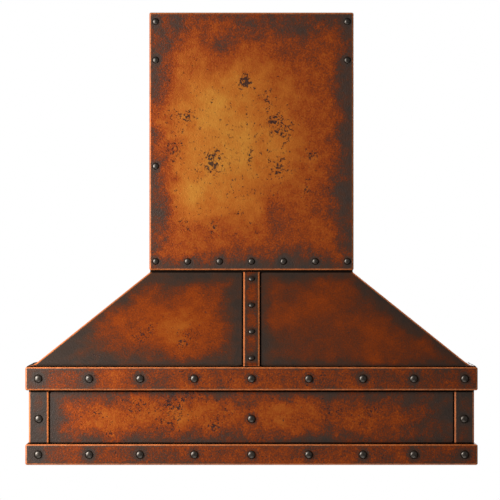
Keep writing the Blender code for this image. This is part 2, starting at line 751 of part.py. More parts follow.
def make_filter(name):
    """A welded cassette: a channel frame, two rows of baffles that overlap, and two rear tabs."""
    frame_name = f"baffle_filter_{name}"
    half = Vector((FILTER_WIDTH / 2, FILTER_DEPTH / 2))
    high = FILTER_LOW + FILTER_HEIGHT
    frame = channel_ring(
        frame_name, BRUSHED, half, FILTER_RIM, FILTER_LOW, high, FILTER_SHEET
    )
    bite = FILTER_SHEET / 2
    baffle_end = half.y - bite
    lower = FILTER_LOW + bite
    upper = high - bite
    rows = [
        (BAFFLE_PITCH * (k - (BAFFLES_BELOW - 1) / 2), lower, BAFFLE_DEPTH)
        for k in range(BAFFLES_BELOW)
    ]
    rows += [
        (BAFFLE_PITCH * (k - BAFFLES_BELOW / 2), upper, -BAFFLE_DEPTH)
        for k in range(BAFFLES_BELOW + 1)
    ]
    pieces = [
        prism(f"{frame_name}_baffle_{k}", None, "Y", -baffle_end, baffle_end, baffle_outline(*row))
        for k, row in enumerate(rows)
    ]
    tab_low = PAN_Z + STAINLESS + GAP
    for side in (-1, 1):
        x = side * TAB_OFFSET
        pieces.append(
            box(
                f"{frame_name}_tab_{side}",
                None,
                (x - TAB_WIDTH / 2, half.y - bite, tab_low),
                (x + TAB_WIDTH / 2, half.y + TAB_REACH, tab_low + FILTER_SHEET),
            )
        )
    return join(frame, several(frame_name + "_baffles", pieces))


def make_handle(name):
    """A D-shaped pull of round wire under the filter's front edge."""
    half, top = HANDLE_SPAN / 2, FILTER_LOW - GAP
    bottom = top - HANDLE_DROP
    path = [(-half, top), (-half, bottom), (half, bottom), (half, top)]
    curve = bpy.data.curves.new("handle", "CURVE")
    curve.dimensions = "3D"
    curve.bevel_depth = HANDLE_WIRE
    curve.bevel_resolution = 2
    curve.use_fill_caps = True
    line = rounded(path, HANDLE_BEND, steps=4)
    spline = curve.splines.new("POLY")
    spline.points.add(len(line) - 1)
    for point, (x, z) in zip(spline.points, line):
        point.co = (x, -(FILTER_DEPTH - FILTER_RIM) / 2, z, 1)
    return place(f"filter_handle_{name}", curve, BRUSHED)


def make_filters():
    """Each filter swings down about the edge of the opening that its rear tabs rest on."""
    pitch = FILTER_WIDTH + FILTER_GAP
    for column, name in enumerate(("left", "centre", "right")):
        pieces = make_filter(name), make_handle(name)
        hinge = (0, OPENING.y, PAN_Z + STAINLESS)
        pivot = on_axis(f"filter_pivot_{name}", hinge, *pieces)
        pivot.location.x = (column - 1) * pitch


# ================================================================ lamps, controls, grease tray
def make_lamps():
    bezel_top = PAN_Z - GAP
    bezel_low = bezel_top - BEZEL_THICK
    top = PAN_Z + LAMP_HEIGHT
    inside = LAMP_TUBE - LAMP_WALL
    # A cup whose rim spreads into the bezel, open downwards.
    profile = [
        (0, top),
        (LAMP_TUBE, top),
        (LAMP_TUBE, bezel_top),
        (LAMP_BEZEL, bezel_top),
        (LAMP_BEZEL, bezel_top - BEZEL_EDGE),
        (LAMP_BEZEL - BEZEL_CHAMFER, bezel_low),
        (LENS_RADIUS + GAP, bezel_low),
        (LENS_RADIUS + GAP, bezel_top),
        (inside, bezel_top + LAMP_WALL),
        (inside, top - LAMP_WALL),
        (0, top - LAMP_WALL),
    ]
    # A disc with a shallow dome below.
    lens = [
        (0, bezel_low + LENS_THICK),
        (LENS_RADIUS, bezel_low + LENS_THICK),
        (LENS_RADIUS, bezel_low + 0.25 * LENS_THICK),
        (LENS_RADIUS * 0.6, bezel_low - 0.6 * LENS_THICK),
        (0, bezel_low - 0.9 * LENS_THICK),
    ]
    for sx, sy in CORNERS:
        name = f"{'front' if sy < 0 else 'rear'}_{'left' if sx < 0 else 'right'}"
        for piece, material, shape in (
            ("lamp_housing", BRUSHED, profile),
            ("lamp_lens", LENS_GLASS, lens),
        ):
            made = turned(f"{piece}_{name}", material, shape, closed=False, steps=SMALL_STEPS)
            made.location = (sx * LAMP_X, sy * STRIP_Y, 0)


def knob_outline():
    """A round knob with a flat-sided pointer nose towards the front."""
    start = math.asin(KNOB_NOSE_HALF / KNOB_RADIUS)
    sweep = 2 * math.pi - 2 * start
    steps = 24
    arc = [
        (
            KNOB_RADIUS * math.sin(start + sweep * k / steps),
            -KNOB_RADIUS * math.cos(start + sweep * k / steps),
        )
        for k in range(steps + 1)
    ]
    return [*arc, (-KNOB_NOSE_HALF, -KNOB_NOSE_REACH), (KNOB_NOSE_HALF, -KNOB_NOSE_REACH)]


def make_controls():
    panel_top = PAN_Z - GAP
    panel_low = panel_top - PANEL_THICK
    plate = rounded(rectangle(PANEL_HALF), PANEL_CORNER, closed=True)
    outline = [(x, y - STRIP_Y) for x, y in plate]
    drill = KNOB_SHAFT + SHAFT_CLEARANCE
    spots = [(side * KNOB_X, -STRIP_Y) for side in (-1, 1)]
    holes = [circle(drill, SMALL_STEPS, spot) for spot in spots]
    prism("control_panel", KNOB_BRONZE, "Z", panel_low, panel_top, outline, holes)
    module_low = PAN_Z + STAINLESS + GAP
    shaft_top = module_low + SHAFT_RISE
    x, y = MODULE_HALF
    module = box(
        "switch_module",
        MOTOR_PAINT,
        (-x, -STRIP_Y - y, module_low),
        (x, -STRIP_Y + y, module_low + MODULE_HEIGHT),
    )
    low, high = module_low - DRILL_REACH, shaft_top + SHAFT_CLEARANCE
    sockets = [
        rod(f"switch_socket_{k}", drill, "Z", low, high, spot, SMALL_STEPS)
        for k, spot in enumerate(spots)
    ]
    cut(module, several("switch_sockets", sockets))
    for name, side in (("fan_knob", -1), ("light_knob", 1)):
        knob_top = panel_low - GAP
        knob = prism(name, KNOB_BRONZE, "Z", knob_top - KNOB_HEIGHT, knob_top, knob_outline())
        shaft_low = knob_top - KNOB_HEIGHT / 10
        shaft = rod(
            name + "_shaft", KNOB_SHAFT, "Z", shaft_low, shaft_top, (0, 0), SMALL_STEPS
        )
        pivot = on_axis(name + "_pivot", (0, 0, knob_top), join(knob, shaft))
        pivot.location = (side * KNOB_X, -STRIP_Y, knob_top)


def make_grease_tray():
    """A drawer of folded sheet, whose side lips run in two rails under the rear strip."""
    top = PAN_Z - TRAY_DROP
    low = top - TRAY_HEIGHT
    half_y, half_x = TRAY_WIDTH / 2, TRAY_LENGTH / 2
    bite = STAINLESS / 2
    sections = [
        (half_x + GAP, half_y + TRAY_LIP, top),
        (half_x, half_y, top),
        (half_x, half_y, low),
    ]
    tray = rectangle_loft("grease_tray", BRUSHED, sections, STAINLESS, side=1)
    floor = box(
        "grease_tray_floor",
        None,
        (-half_x - bite, -half_y - bite, low),
        (half_x + bite, half_y + bite, low + STAINLESS),
        CUTTERS,
    )
    on_axis("grease_tray_pivot", (0, 0, top), join(tray, floor)).location.y = STRIP_Y
    for name, face in (("tray_runner_front", -1), ("tray_runner_rear", 1)):
        inner = STRIP_Y + face * (half_y + RUNNER_CLEARANCE)
        outer = STRIP_Y + face * (half_y + TRAY_LIP + RUNNER_CLEARANCE + STAINLESS)
        shelf = top - STAINLESS - RUNNER_CLEARANCE
        path = [(inner, shelf), (outer, shelf), (outer, PAN_Z - GAP)]
        outline = bent_sheet(path, face * STAINLESS)
        prism(name, BRUSHED, "X", -half_x, half_x, outline)


# ================================================================ blower
def make_blower_box():
    """The sheet box that hangs between the posts and holds the blower. Its roof opens into the
    damper collar."""
    out = POST_IN - Vector((GAP,) * 2)
    foot = PLENUM_ROOF_Z + STAINLESS + GAP
    hull = box("blower_box", GALVANISED, (-out.x, -out.y, foot), (*out, BOX_ROOF_Z))
    inner = out - Vector((STAINLESS,) * 2)
    hollow = box(
        "blower_box_hollow",
        None,
        (-inner.x, -inner.y, foot - STAINLESS),
        (*inner, BOX_ROOF_Z - STAINLESS),
        CUTTERS,
    )
    low, high = BOX_ROOF_Z - DRILL_REACH, BOX_ROOF_Z + DRILL_REACH
    hole = rod("blower_box_outlet", BOX_OUTLET, "Z", low, high, (0, 0), where=CUTTERS)
    cut(hull, hollow, hole)


def scroll_path():
    """The volute in XZ: a spiral that widens from the tongue to the outlet neck."""
    neck_top = BOX_ROOF_Z - STAINLESS - GAP
    turn = 2 * math.pi - TONGUE_ANGLE
    points = []
    for k in range(SCROLL_STEPS + 1):
        share = k / SCROLL_STEPS
        radius = SCROLL_START + (SCROLL_END - SCROLL_START) * share
        angle = TONGUE_ANGLE + turn * share
        points.append((WHEEL_X + radius * math.cos(angle), WHEEL_Z + radius * math.sin(angle)))
    return [*points, (OUTLET_HALF, neck_top), (-OUTLET_HALF, neck_top)]


def make_scroll():
    path = scroll_path()
    shell = prism("scroll_housing", GALVANISED, "Y", -SCROLL_HALF, SCROLL_HALF, path)
    inner = offset(path, STAINLESS, closed=True)
    # The hollow runs on past the neck, so that it opens it.
    for point in inner[-2:]:
        point.y += 2 * DRILL_REACH
    half = SCROLL_HALF - STAINLESS
    hollow = prism("scroll_hollow", None, "Y", -half, half, inner, where=CUTTERS)
    inlets = rod(
        "scroll_inlets",
        INLET_RADIUS,
        "Y",
        -SCROLL_HALF - DRILL_REACH,
        SCROLL_HALF + DRILL_REACH,
        (WHEEL_X, WHEEL_Z),
        where=CUTTERS,
    )
    cut(shell, hollow, inlets)


def make_impeller():
    """A double-inlet wheel on the motor's stub shaft: disc, hub, end rings and blades."""
    centre = (WHEEL_X, WHEEL_Z)
    disc_half = WHEEL_DISC / 2
    wheel = rod(
        "impeller",
        WHEEL_RADIUS - WHEEL_DISC,
        "Y",
        -disc_half,
        disc_half,
        centre,
        material=GALVANISED,
    )
    rings = []
    for side in (-1, 1):
        near, far = sorted((side * WHEEL_HALF, side * (WHEEL_HALF - WHEEL_RING)))
        ring = prism(
            f"impeller_ring_{side}",
            None,
            "Y",
            near,
            far,
            circle(WHEEL_RADIUS, centre=centre),
            [circle(WHEEL_BORE, centre=centre)],
            CUTTERS,
        )
        rings.append(ring)
    hub = rod("impeller_hub", HUB_RADIUS, "Y", HUB_FRONT, HUB_REAR, centre, 24, where=CUTTERS)
    shaft = rod(
        "impeller_shaft", MOTOR_SHAFT, "Y", -SHAFT_DEPTH, 0.0, centre, SMALL_STEPS, where=CUTTERS
    )
    middle = (WHEEL_RADIUS + WHEEL_BORE) / 2
    half_chord = (WHEEL_RADIUS - WHEEL_BORE) / 2 - BLADE_EDGE
    end = WHEEL_HALF - WHEEL_RING / 2
    blades = []
    for k in range(BLADE_COUNT):
        blade = box(
            f"blade_{k}",
            None,
            (-half_chord, -end, -BLADE_THICK / 2),
            (half_chord, end, BLADE_THICK / 2),
        )
        angle = 2 * math.pi * k / BLADE_COUNT
        out = Vector((math.cos(angle), 0, math.sin(angle)))
        blade.location = Vector((WHEEL_X, 0, WHEEL_Z)) + out * middle
        blade.rotation_euler = Euler((0, -angle - BLADE_TILT, 0))
        blades.append(blade)
    wheel = join(wheel, *rings, hub, shaft, several("impeller_blades", blades))
    on_axis("impeller_pivot", (WHEEL_X, 0, WHEEL_Z), wheel)


def make_motor():
    """The motor, and the three-armed bracket that carries it across the scroll's front inlet."""
    back, shoulder = -SCROLL_HALF, MOTOR_FRONT - MOTOR_BOSS_RISE
    profile = [
        (0, MOTOR_FRONT),
        (MOTOR_BOSS, MOTOR_FRONT),
        (MOTOR_BOSS, shoulder),
        (MOTOR_RADIUS - 2 * MOTOR_EDGE, shoulder),
        (MOTOR_RADIUS, MOTOR_FRONT - MOTOR_BELL),
        (MOTOR_RADIUS, back + MOTOR_BELL),
        (MOTOR_RADIUS - MOTOR_EDGE, back),
        (0, back),
    ]
    body = turned("motor", MOTOR_PAINT, profile, closed=False, steps=24)
    body.rotation_euler = (-math.pi / 2, 0, 0)
    body.location = (WHEEL_X, 0, WHEEL_Z)
    centre = (WHEEL_X, WHEEL_Z)
    socket = rod(
        "motor_socket", MOTOR_SHAFT + SHAFT_GAP, "Y", -SOCKET_DEPTH, 0.0, centre, SMALL_STEPS
    )
    cut(body, socket)
    windows = []
    for k in range(ARM_COUNT):
        start = 2 * math.pi * k / ARM_COUNT + ARM_HALF
        stop = 2 * math.pi * (k + 1) / ARM_COUNT - ARM_HALF
        arc = [start + (stop - start) * j / 10 for j in range(11)]
        loop = [(WINDOW_OUT * math.cos(a), WINDOW_OUT * math.sin(a)) for a in arc]
        loop += [(WINDOW_IN * math.cos(a), WINDOW_IN * math.sin(a)) for a in reversed(arc)]
        windows.append([(x + WHEEL_X, z + WHEEL_Z) for x, z in loop])
    bracket_back = -SCROLL_HALF - GAP
    prism(
        "motor_bracket",
        FRAME_STEEL,
        "Y",
        bracket_back - BRACKET_THICK,
        bracket_back,
        circle(BRACKET_RADIUS, centre=centre),
        windows,
    )


def make_duct():
    """The damper collar on the blower box, its two flaps, and the duct up to the ceiling."""
    base = BOX_ROOF_Z + GAP
    inner = COLLAR_OUT - COLLAR_WALL
    stop_top = FLAP_Z - STOP_DROP
    stop_low = stop_top - STOP_THICK
    profile = [
        (COLLAR_OUT, COLLAR_TOP_Z),
        (COLLAR_OUT, base + COLLAR_WALL),
        (COLLAR_FLANGE, base + COLLAR_WALL),
        (COLLAR_FLANGE, base),
        (inner, base),
        (inner, stop_low),
        (inner - STOP_WIDTH, stop_low),
        (inner - STOP_WIDTH, stop_top),
        (inner, stop_top),
        (inner, COLLAR_TOP_Z),
    ]
    collar = turned("damper_collar", GALVANISED, profile)
    bar_end = inner + COLLAR_WALL / 2
    bar_x, bar_z = BAR_HALF
    bar = box(
        "damper_bar",
        None,
        (-bar_x, -bar_end, FLAP_Z - bar_z),
        (bar_x, bar_end, FLAP_Z + bar_z),
        CUTTERS,
    )
    join(collar, bar)
    knuckle_end = FLAP_RADIUS - KNUCKLE_INSET
    leaf_steps = 24
    angles = [math.pi * k / leaf_steps - math.pi / 2 for k in range(leaf_steps + 1)]
    arc = [(FLAP_RADIUS * math.cos(a), FLAP_RADIUS * math.sin(a)) for a in angles]
    for name, side in (("damper_flap_left", -1), ("damper_flap_right", 1)):
        leaf = [(side * max(x, FLAP_HINGE_X), y) for x, y in arc]
        flap = prism(name, GALVANISED, "Z", FLAP_Z - FLAP_HALF, FLAP_Z + FLAP_HALF, leaf)
        knuckle = rod(
            name + "_knuckle",
            KNUCKLE_RADIUS,
            "Y",
            -knuckle_end,
            knuckle_end,
            (side * FLAP_HINGE_X, FLAP_Z),
            10,
            where=CUTTERS,
        )
        on_axis(name + "_pivot", (side * FLAP_HINGE_X, 0, FLAP_Z), join(flap, knuckle))
    duct_low = COLLAR_TOP_Z - DUCT_LAP
    duct_out = DUCT_IN + DUCT_WALL
    walls = [(duct_out, CEILING_Z), (duct_out, duct_low), (DUCT_IN, duct_low), (DUCT_IN, CEILING_Z)]
    turned("duct_pipe", GALVANISED, walls)


def make_junction_box():
    low = Vector((*JUNCTION_LOW, BOX_ROOF_Z + GAP))
    high = low + JUNCTION_SIZE
    shell = box("junction_box", GALVANISED, low, high)
    wall = Vector((STAINLESS,) * 3)
    past_top = Vector((-STAINLESS, -STAINLESS, STAINLESS))
    hollow = box("junction_box_hollow", None, low + wall, high + past_top, CUTTERS)
    cut(shell, hollow)
    box(
        "junction_box_cover",
        GALVANISED,
        (low.x - JUNCTION_OVERLAP, low.y - JUNCTION_OVERLAP, high.z + GAP),
        (high.x + JUNCTION_OVERLAP, high.y + JUNCTION_OVERLAP, high.z + GAP + STAINLESS),
    )


# ================================================================ the hood
def main():
    make_chimney()
    make_canopy()
    make_seam_straps()
    make_bands()
    make_aprons()
    make_corner_straps()
    make_ceiling_plate()
    make_posts()
    make_rings_and_rails()
    make_pan()
    make_plenum()
    make_filters()
    make_lamps()
    make_controls()
    make_grease_tray()
    make_blower_box()
    make_scroll()
    make_impeller()
    make_motor()
    make_duct()
    make_junction_box()


main()
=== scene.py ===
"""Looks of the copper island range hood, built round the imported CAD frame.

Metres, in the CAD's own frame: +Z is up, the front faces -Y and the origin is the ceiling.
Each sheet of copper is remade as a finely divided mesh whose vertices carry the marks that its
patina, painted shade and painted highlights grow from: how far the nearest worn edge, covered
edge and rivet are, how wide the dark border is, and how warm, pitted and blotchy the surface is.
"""

import json
import math
from typing import NamedTuple

import bmesh
import bpy
from mathutils import Matrix, Vector, noise


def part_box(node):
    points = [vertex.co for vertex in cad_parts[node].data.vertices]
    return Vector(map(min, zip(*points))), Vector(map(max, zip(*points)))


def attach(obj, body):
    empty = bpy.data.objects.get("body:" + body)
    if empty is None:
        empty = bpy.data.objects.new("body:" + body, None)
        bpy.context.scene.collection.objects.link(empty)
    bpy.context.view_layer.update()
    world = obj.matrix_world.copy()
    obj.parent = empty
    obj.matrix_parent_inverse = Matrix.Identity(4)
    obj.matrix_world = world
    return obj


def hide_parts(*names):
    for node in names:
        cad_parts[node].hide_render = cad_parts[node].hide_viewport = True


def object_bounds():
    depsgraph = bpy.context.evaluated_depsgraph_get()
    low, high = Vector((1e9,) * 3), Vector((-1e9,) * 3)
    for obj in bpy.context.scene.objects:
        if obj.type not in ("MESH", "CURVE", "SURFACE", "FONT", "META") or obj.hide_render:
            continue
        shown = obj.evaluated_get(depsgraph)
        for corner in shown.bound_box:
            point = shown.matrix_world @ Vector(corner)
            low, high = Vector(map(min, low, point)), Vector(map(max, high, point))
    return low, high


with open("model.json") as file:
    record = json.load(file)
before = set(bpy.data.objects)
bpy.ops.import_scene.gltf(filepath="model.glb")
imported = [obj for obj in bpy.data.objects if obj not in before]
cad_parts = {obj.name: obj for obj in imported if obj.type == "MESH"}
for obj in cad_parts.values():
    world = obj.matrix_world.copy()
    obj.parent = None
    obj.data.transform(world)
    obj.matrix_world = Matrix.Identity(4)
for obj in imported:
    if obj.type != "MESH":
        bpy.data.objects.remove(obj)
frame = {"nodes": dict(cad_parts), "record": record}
CAD_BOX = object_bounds()

# ---------------------------------------------------------------- sizes the frame doesn't say
BAND_HEAD, SMALL_HEAD = 0.0088, 0.0072  # radius of a rivet head
HEAD_RISE = 0.62  # height of a head over its radius
HEAD_SKIRT, HEAD_SUNK = 0.0009, 0.0006  # upright rim of a head, and its depth in the sheet
COPPER, STRAP = 0.0013, 0.003  # thickness of sheets and of straps
SHADOW_GAP = 0.0045  # bare neck between the chimney's edge and the slope
NECK_INSET, NECK_HEIGHT = 0.002, 0.020  # of the canopy's neck, inside the chimney
FLARE_HEIGHT = 0.0050  # of the canopy's foot, which flares out to the band
FLARE_INSET, SLOPE_FOOT_INSET = 0.0035, 0.0144  # from the band's face
BAND_RETURN = 0.011  # how far the bands' folded edges reach inwards
CORNER_LEG = 0.046  # width of each leg of a corner strap
GAP = 0.0003  # clearance between neighbours
HEM = 0.0060  # inward turn along the chimney's top and bottom
FOLD, BAND_FOLD, CHIMNEY_FOLD = 0.0028, 0.0040, 0.0036  # rounding of the folds
CUT_EDGE = 0.0004  # rounding of the cut edges
WELD = 1e-5  # vertices closer than this become one
FINE, MEDIUM, COARSE = 0.004, 0.005, 0.008  # size of a sheet's faces
RIPPLE = 0.00025  # how far a sheet is out of flat

BAND_RIVETS_X = (-0.503, -0.383, -0.263, -0.135, 0.0, 0.135, 0.263, 0.383, 0.503)
CHIMNEY_RIVET_INSET, CHIMNEY_ROW_RISE = 0.015, 0.021
CHIMNEY_RIVET_DROPS = (0.0215, 0.113, 0.3655)  # below the ceiling
STRAP_RIVET_SHARES = (0.079, 0.3577, 0.6364, 0.9151)  # of the slope's drop, from its top
STRAP_TOP_GAP = 0.002  # from the slope's top to the seam strap's end
STRAP_FOOT_RISE, STRAP_FOOT_OUT = 0.0030, 0.0002  # of its other end, from the canopy's foot
APRON_RIVET_DROP = 0.004  # below the middle between the bands

# ---------------------------------------------------------------- the patina's own values
MARKS = ("worn", "covered", "rivet", "border", "warmth", "pits", "unrest")
FAR = 1.0  # a mark's value where there is no edge or rivet near
SWAY = 0.24  # how far clouds and blotches carry the heat up and down
RAGGED = 0.6  # how ragged a border is, as a share of its width
BORDER_CHILL = 0.34  # how much less heat a sheet's border has than its middle
RING_REACH, RING_CHILL = 0.014, 0.20  # of the dark ring round a rivet
BARE_AND_HIGHLIGHT_REACH = (0.0048, 0.0012)  # bare metal, partly a painted highlight on the folds, starts, and is full, this close to a worn edge
CREVICE_SHADE_REACH = (0.0052, 0.0026)  # painted shade starts, and is full, this close to a covered edge
RIVET_SHADOW_REACH = (0.0020, 0.0002)  # painted contact shadow starts, and is full, this close to the foot of a rivet
SHEEN, FILM_SHEEN = 0.2, 0.44  # strength of the white gloss over bare colour and over the film

# Colours as 0..255 screen values.
HEAT_COLOURS = (
    (0.0, (46, 33, 24)),
    (0.18, (68, 39, 23)),
    (0.32, (102, 46, 20)),
    (0.50, (148, 62, 15)),
    (0.72, (176, 96, 29)),
    (1.0, (190, 125, 45)),
)
# The bare colour is worn copper and also a painted highlight on the edges.
# The shade colour is painted shade in crevices and at the foot of a rivet.
PIT_COLOUR, PAINTED_SHADE_COLOUR, BARE_AND_HIGHLIGHT_COLOUR = (38, 30, 32), (14, 10, 8), (232, 128, 62)
HEAD_COLOURS = ((0.3, (22, 18, 15)), (0.7, (36, 30, 25)))
HEAD_GLOSS_TINT = (1.0, 0.88, 0.76, 1.0)


def outer(node, head=0.0):
    """Half width, half depth, lowest and highest z of a node, less the heads on its face."""
    low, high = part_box(node)
    half_x = max(-low[0], high[0])
    half_y = max(-low[1], high[1]) - head * HEAD_RISE
    return half_x, half_y, low[2], high[2]


CHIMNEY_X, CHIMNEY_Y, CHIMNEY_LOW, CHIMNEY_HIGH = outer("chimney_front_cover", SMALL_HEAD)
BAND_X, BAND_Y, UPPER_LOW, UPPER_HIGH = outer("upper_band", BAND_HEAD)
LOWER_LOW, LOWER_HIGH = outer("lower_band", BAND_HEAD)[2:]
APRON_X = outer("apron_left")[0]
APRON_Y, APRON_LOW, APRON_HIGH = outer("apron_front", BAND_HEAD)[1:]
CORNER_X, CORNER_Y, CORNER_LOW, CORNER_HIGH = outer("corner_strap_front_left", BAND_HEAD)
SEAM_HALF = outer("seam_strap_front")[0]
SLOPE_TOP = CHIMNEY_LOW - SHADOW_GAP
NECK_X, NECK_Y = CHIMNEY_X - NECK_INSET, CHIMNEY_Y - NECK_INSET


# ================================================================ node helpers
class Tree:
    """A material's node tree, with short calls for the nodes used here."""

    def __init__(self, name):
        self.material = bpy.data.materials.new(name)
        self.material.use_nodes = True
        self.nodes = self.material.node_tree.nodes
        self.links = self.material.node_tree.links
        self.shader = self.nodes["Principled BSDF"]

    def put(self, socket, value):
        if isinstance(value, bpy.types.NodeSocket):
            self.links.new(value, socket)
        else:
            socket.default_value = value

    def math(self, operation, *values, clamp=False):
        node = self.nodes.new("ShaderNodeMath")
        node.operation = operation
        node.use_clamp = clamp
        for socket, value in zip(node.inputs, values):
            self.put(socket, value)
        return node.outputs[0]

    def step(self, value, start, end):
        """0 before start, 1 after end, and smooth between them."""
        node = self.nodes.new("ShaderNodeMapRange")
        node.interpolation_type = "SMOOTHSTEP"
        for socket, setting in zip(node.inputs, (value, start, end, 0.0, 1.0)):
            self.put(socket, setting)
        return node.outputs["Result"]

    def spread(self, value, low, high):
        """Takes 0..1 to low..high."""
        node = self.nodes.new("ShaderNodeMapRange")
        for socket, setting in zip(node.inputs, (value, 0.0, 1.0, low, high)):
            self.put(socket, setting)
        return node.outputs["Result"]

    def sway(self, value, reach):
        """Takes 0..1 to -reach..reach."""
        return self.spread(value, -reach, reach)

    def mark(self, name):
        """One of the MARKS that a sheet's vertices carry."""
        node = self.nodes.new("ShaderNodeAttribute")
        node.attribute_name = name
        return node.outputs["Fac"]

    def place(self, offset=(0, 0, 0), stretch=(1, 1, 1)):
        """The point on the object in metres, moved to another part of the pattern."""
        coordinates = self.nodes.new("ShaderNodeTexCoord")
        mapping = self.nodes.new("ShaderNodeMapping")
        mapping.inputs["Location"].default_value = offset
        mapping.inputs["Scale"].default_value = stretch
        self.links.new(coordinates.outputs["Object"], mapping.inputs["Vector"])
        return mapping.outputs[0]

    def noise(self, where, size, detail=3.0, roughness=0.55):
        """Noise whose features are about size metres across."""
        node = self.nodes.new("ShaderNodeTexNoise")
        self.links.new(where, node.inputs["Vector"])
        node.inputs["Scale"].default_value = 1 / size
        node.inputs["Detail"].default_value = detail
        node.inputs["Roughness"].default_value = roughness
        return node.outputs[0]

    def crystals(self, where, size):
        """A random number for each crystal, about size metres across."""
        node = self.nodes.new("ShaderNodeTexVoronoi")
        self.links.new(where, node.inputs["Vector"])
        node.inputs["Scale"].default_value = 1 / size
        split = self.nodes.new("ShaderNodeSeparateColor")
        self.links.new(node.outputs["Color"], split.inputs[0])
        return split.outputs[0]

    def mix(self, share, first, second):
        node = self.nodes.new("ShaderNodeMix")
        node.data_type = "RGBA"
        self.put(node.inputs["Factor"], share)
        for socket, colour in ((node.inputs["A"], first), (node.inputs["B"], second)):
            self.put(socket, colour if hasattr(colour, "is_linked") else (*colour, 1.0))
        return node.outputs["Result"]

    def ramp(self, value, stops):
        """A colour between (position, linear colour) stops."""
        node = self.nodes.new("ShaderNodeValToRGB")
        self.links.new(value, node.inputs[0])
        elements = node.color_ramp.elements
        while len(elements) < len(stops):
            elements.new(0.5)
        for element, (position, colour) in zip(elements, stops):
            element.position = position
            element.color = (*colour, 1.0)
        return node.outputs["Color"]

    def bump(self, height, strength, distance):
        node = self.nodes.new("ShaderNodeBump")
        self.links.new(height, node.inputs["Height"])
        node.inputs["Strength"].default_value = strength
        node.inputs["Distance"].default_value = distance
        self.links.new(node.outputs[0], self.shader.inputs["Normal"])

    def finish(self, colour, roughness, metallic):
        """Connects what every material here has, and returns the material."""
        self.put(self.shader.inputs["Base Color"], colour)
        self.put(self.shader.inputs["Roughness"], roughness)
        self.put(self.shader.inputs["Metallic"], metallic)
        return self.material


def linear(screen):
    """A linear colour from 0..255 screen values."""
    return tuple(
        c / 12.92 if c <= 0.04045 else ((c + 0.055) / 1.055) ** 2.4
        for c in (value / 255 for value in screen)
    )


def linear_stops(stops):
    return tuple((position, linear(screen)) for position, screen in stops)


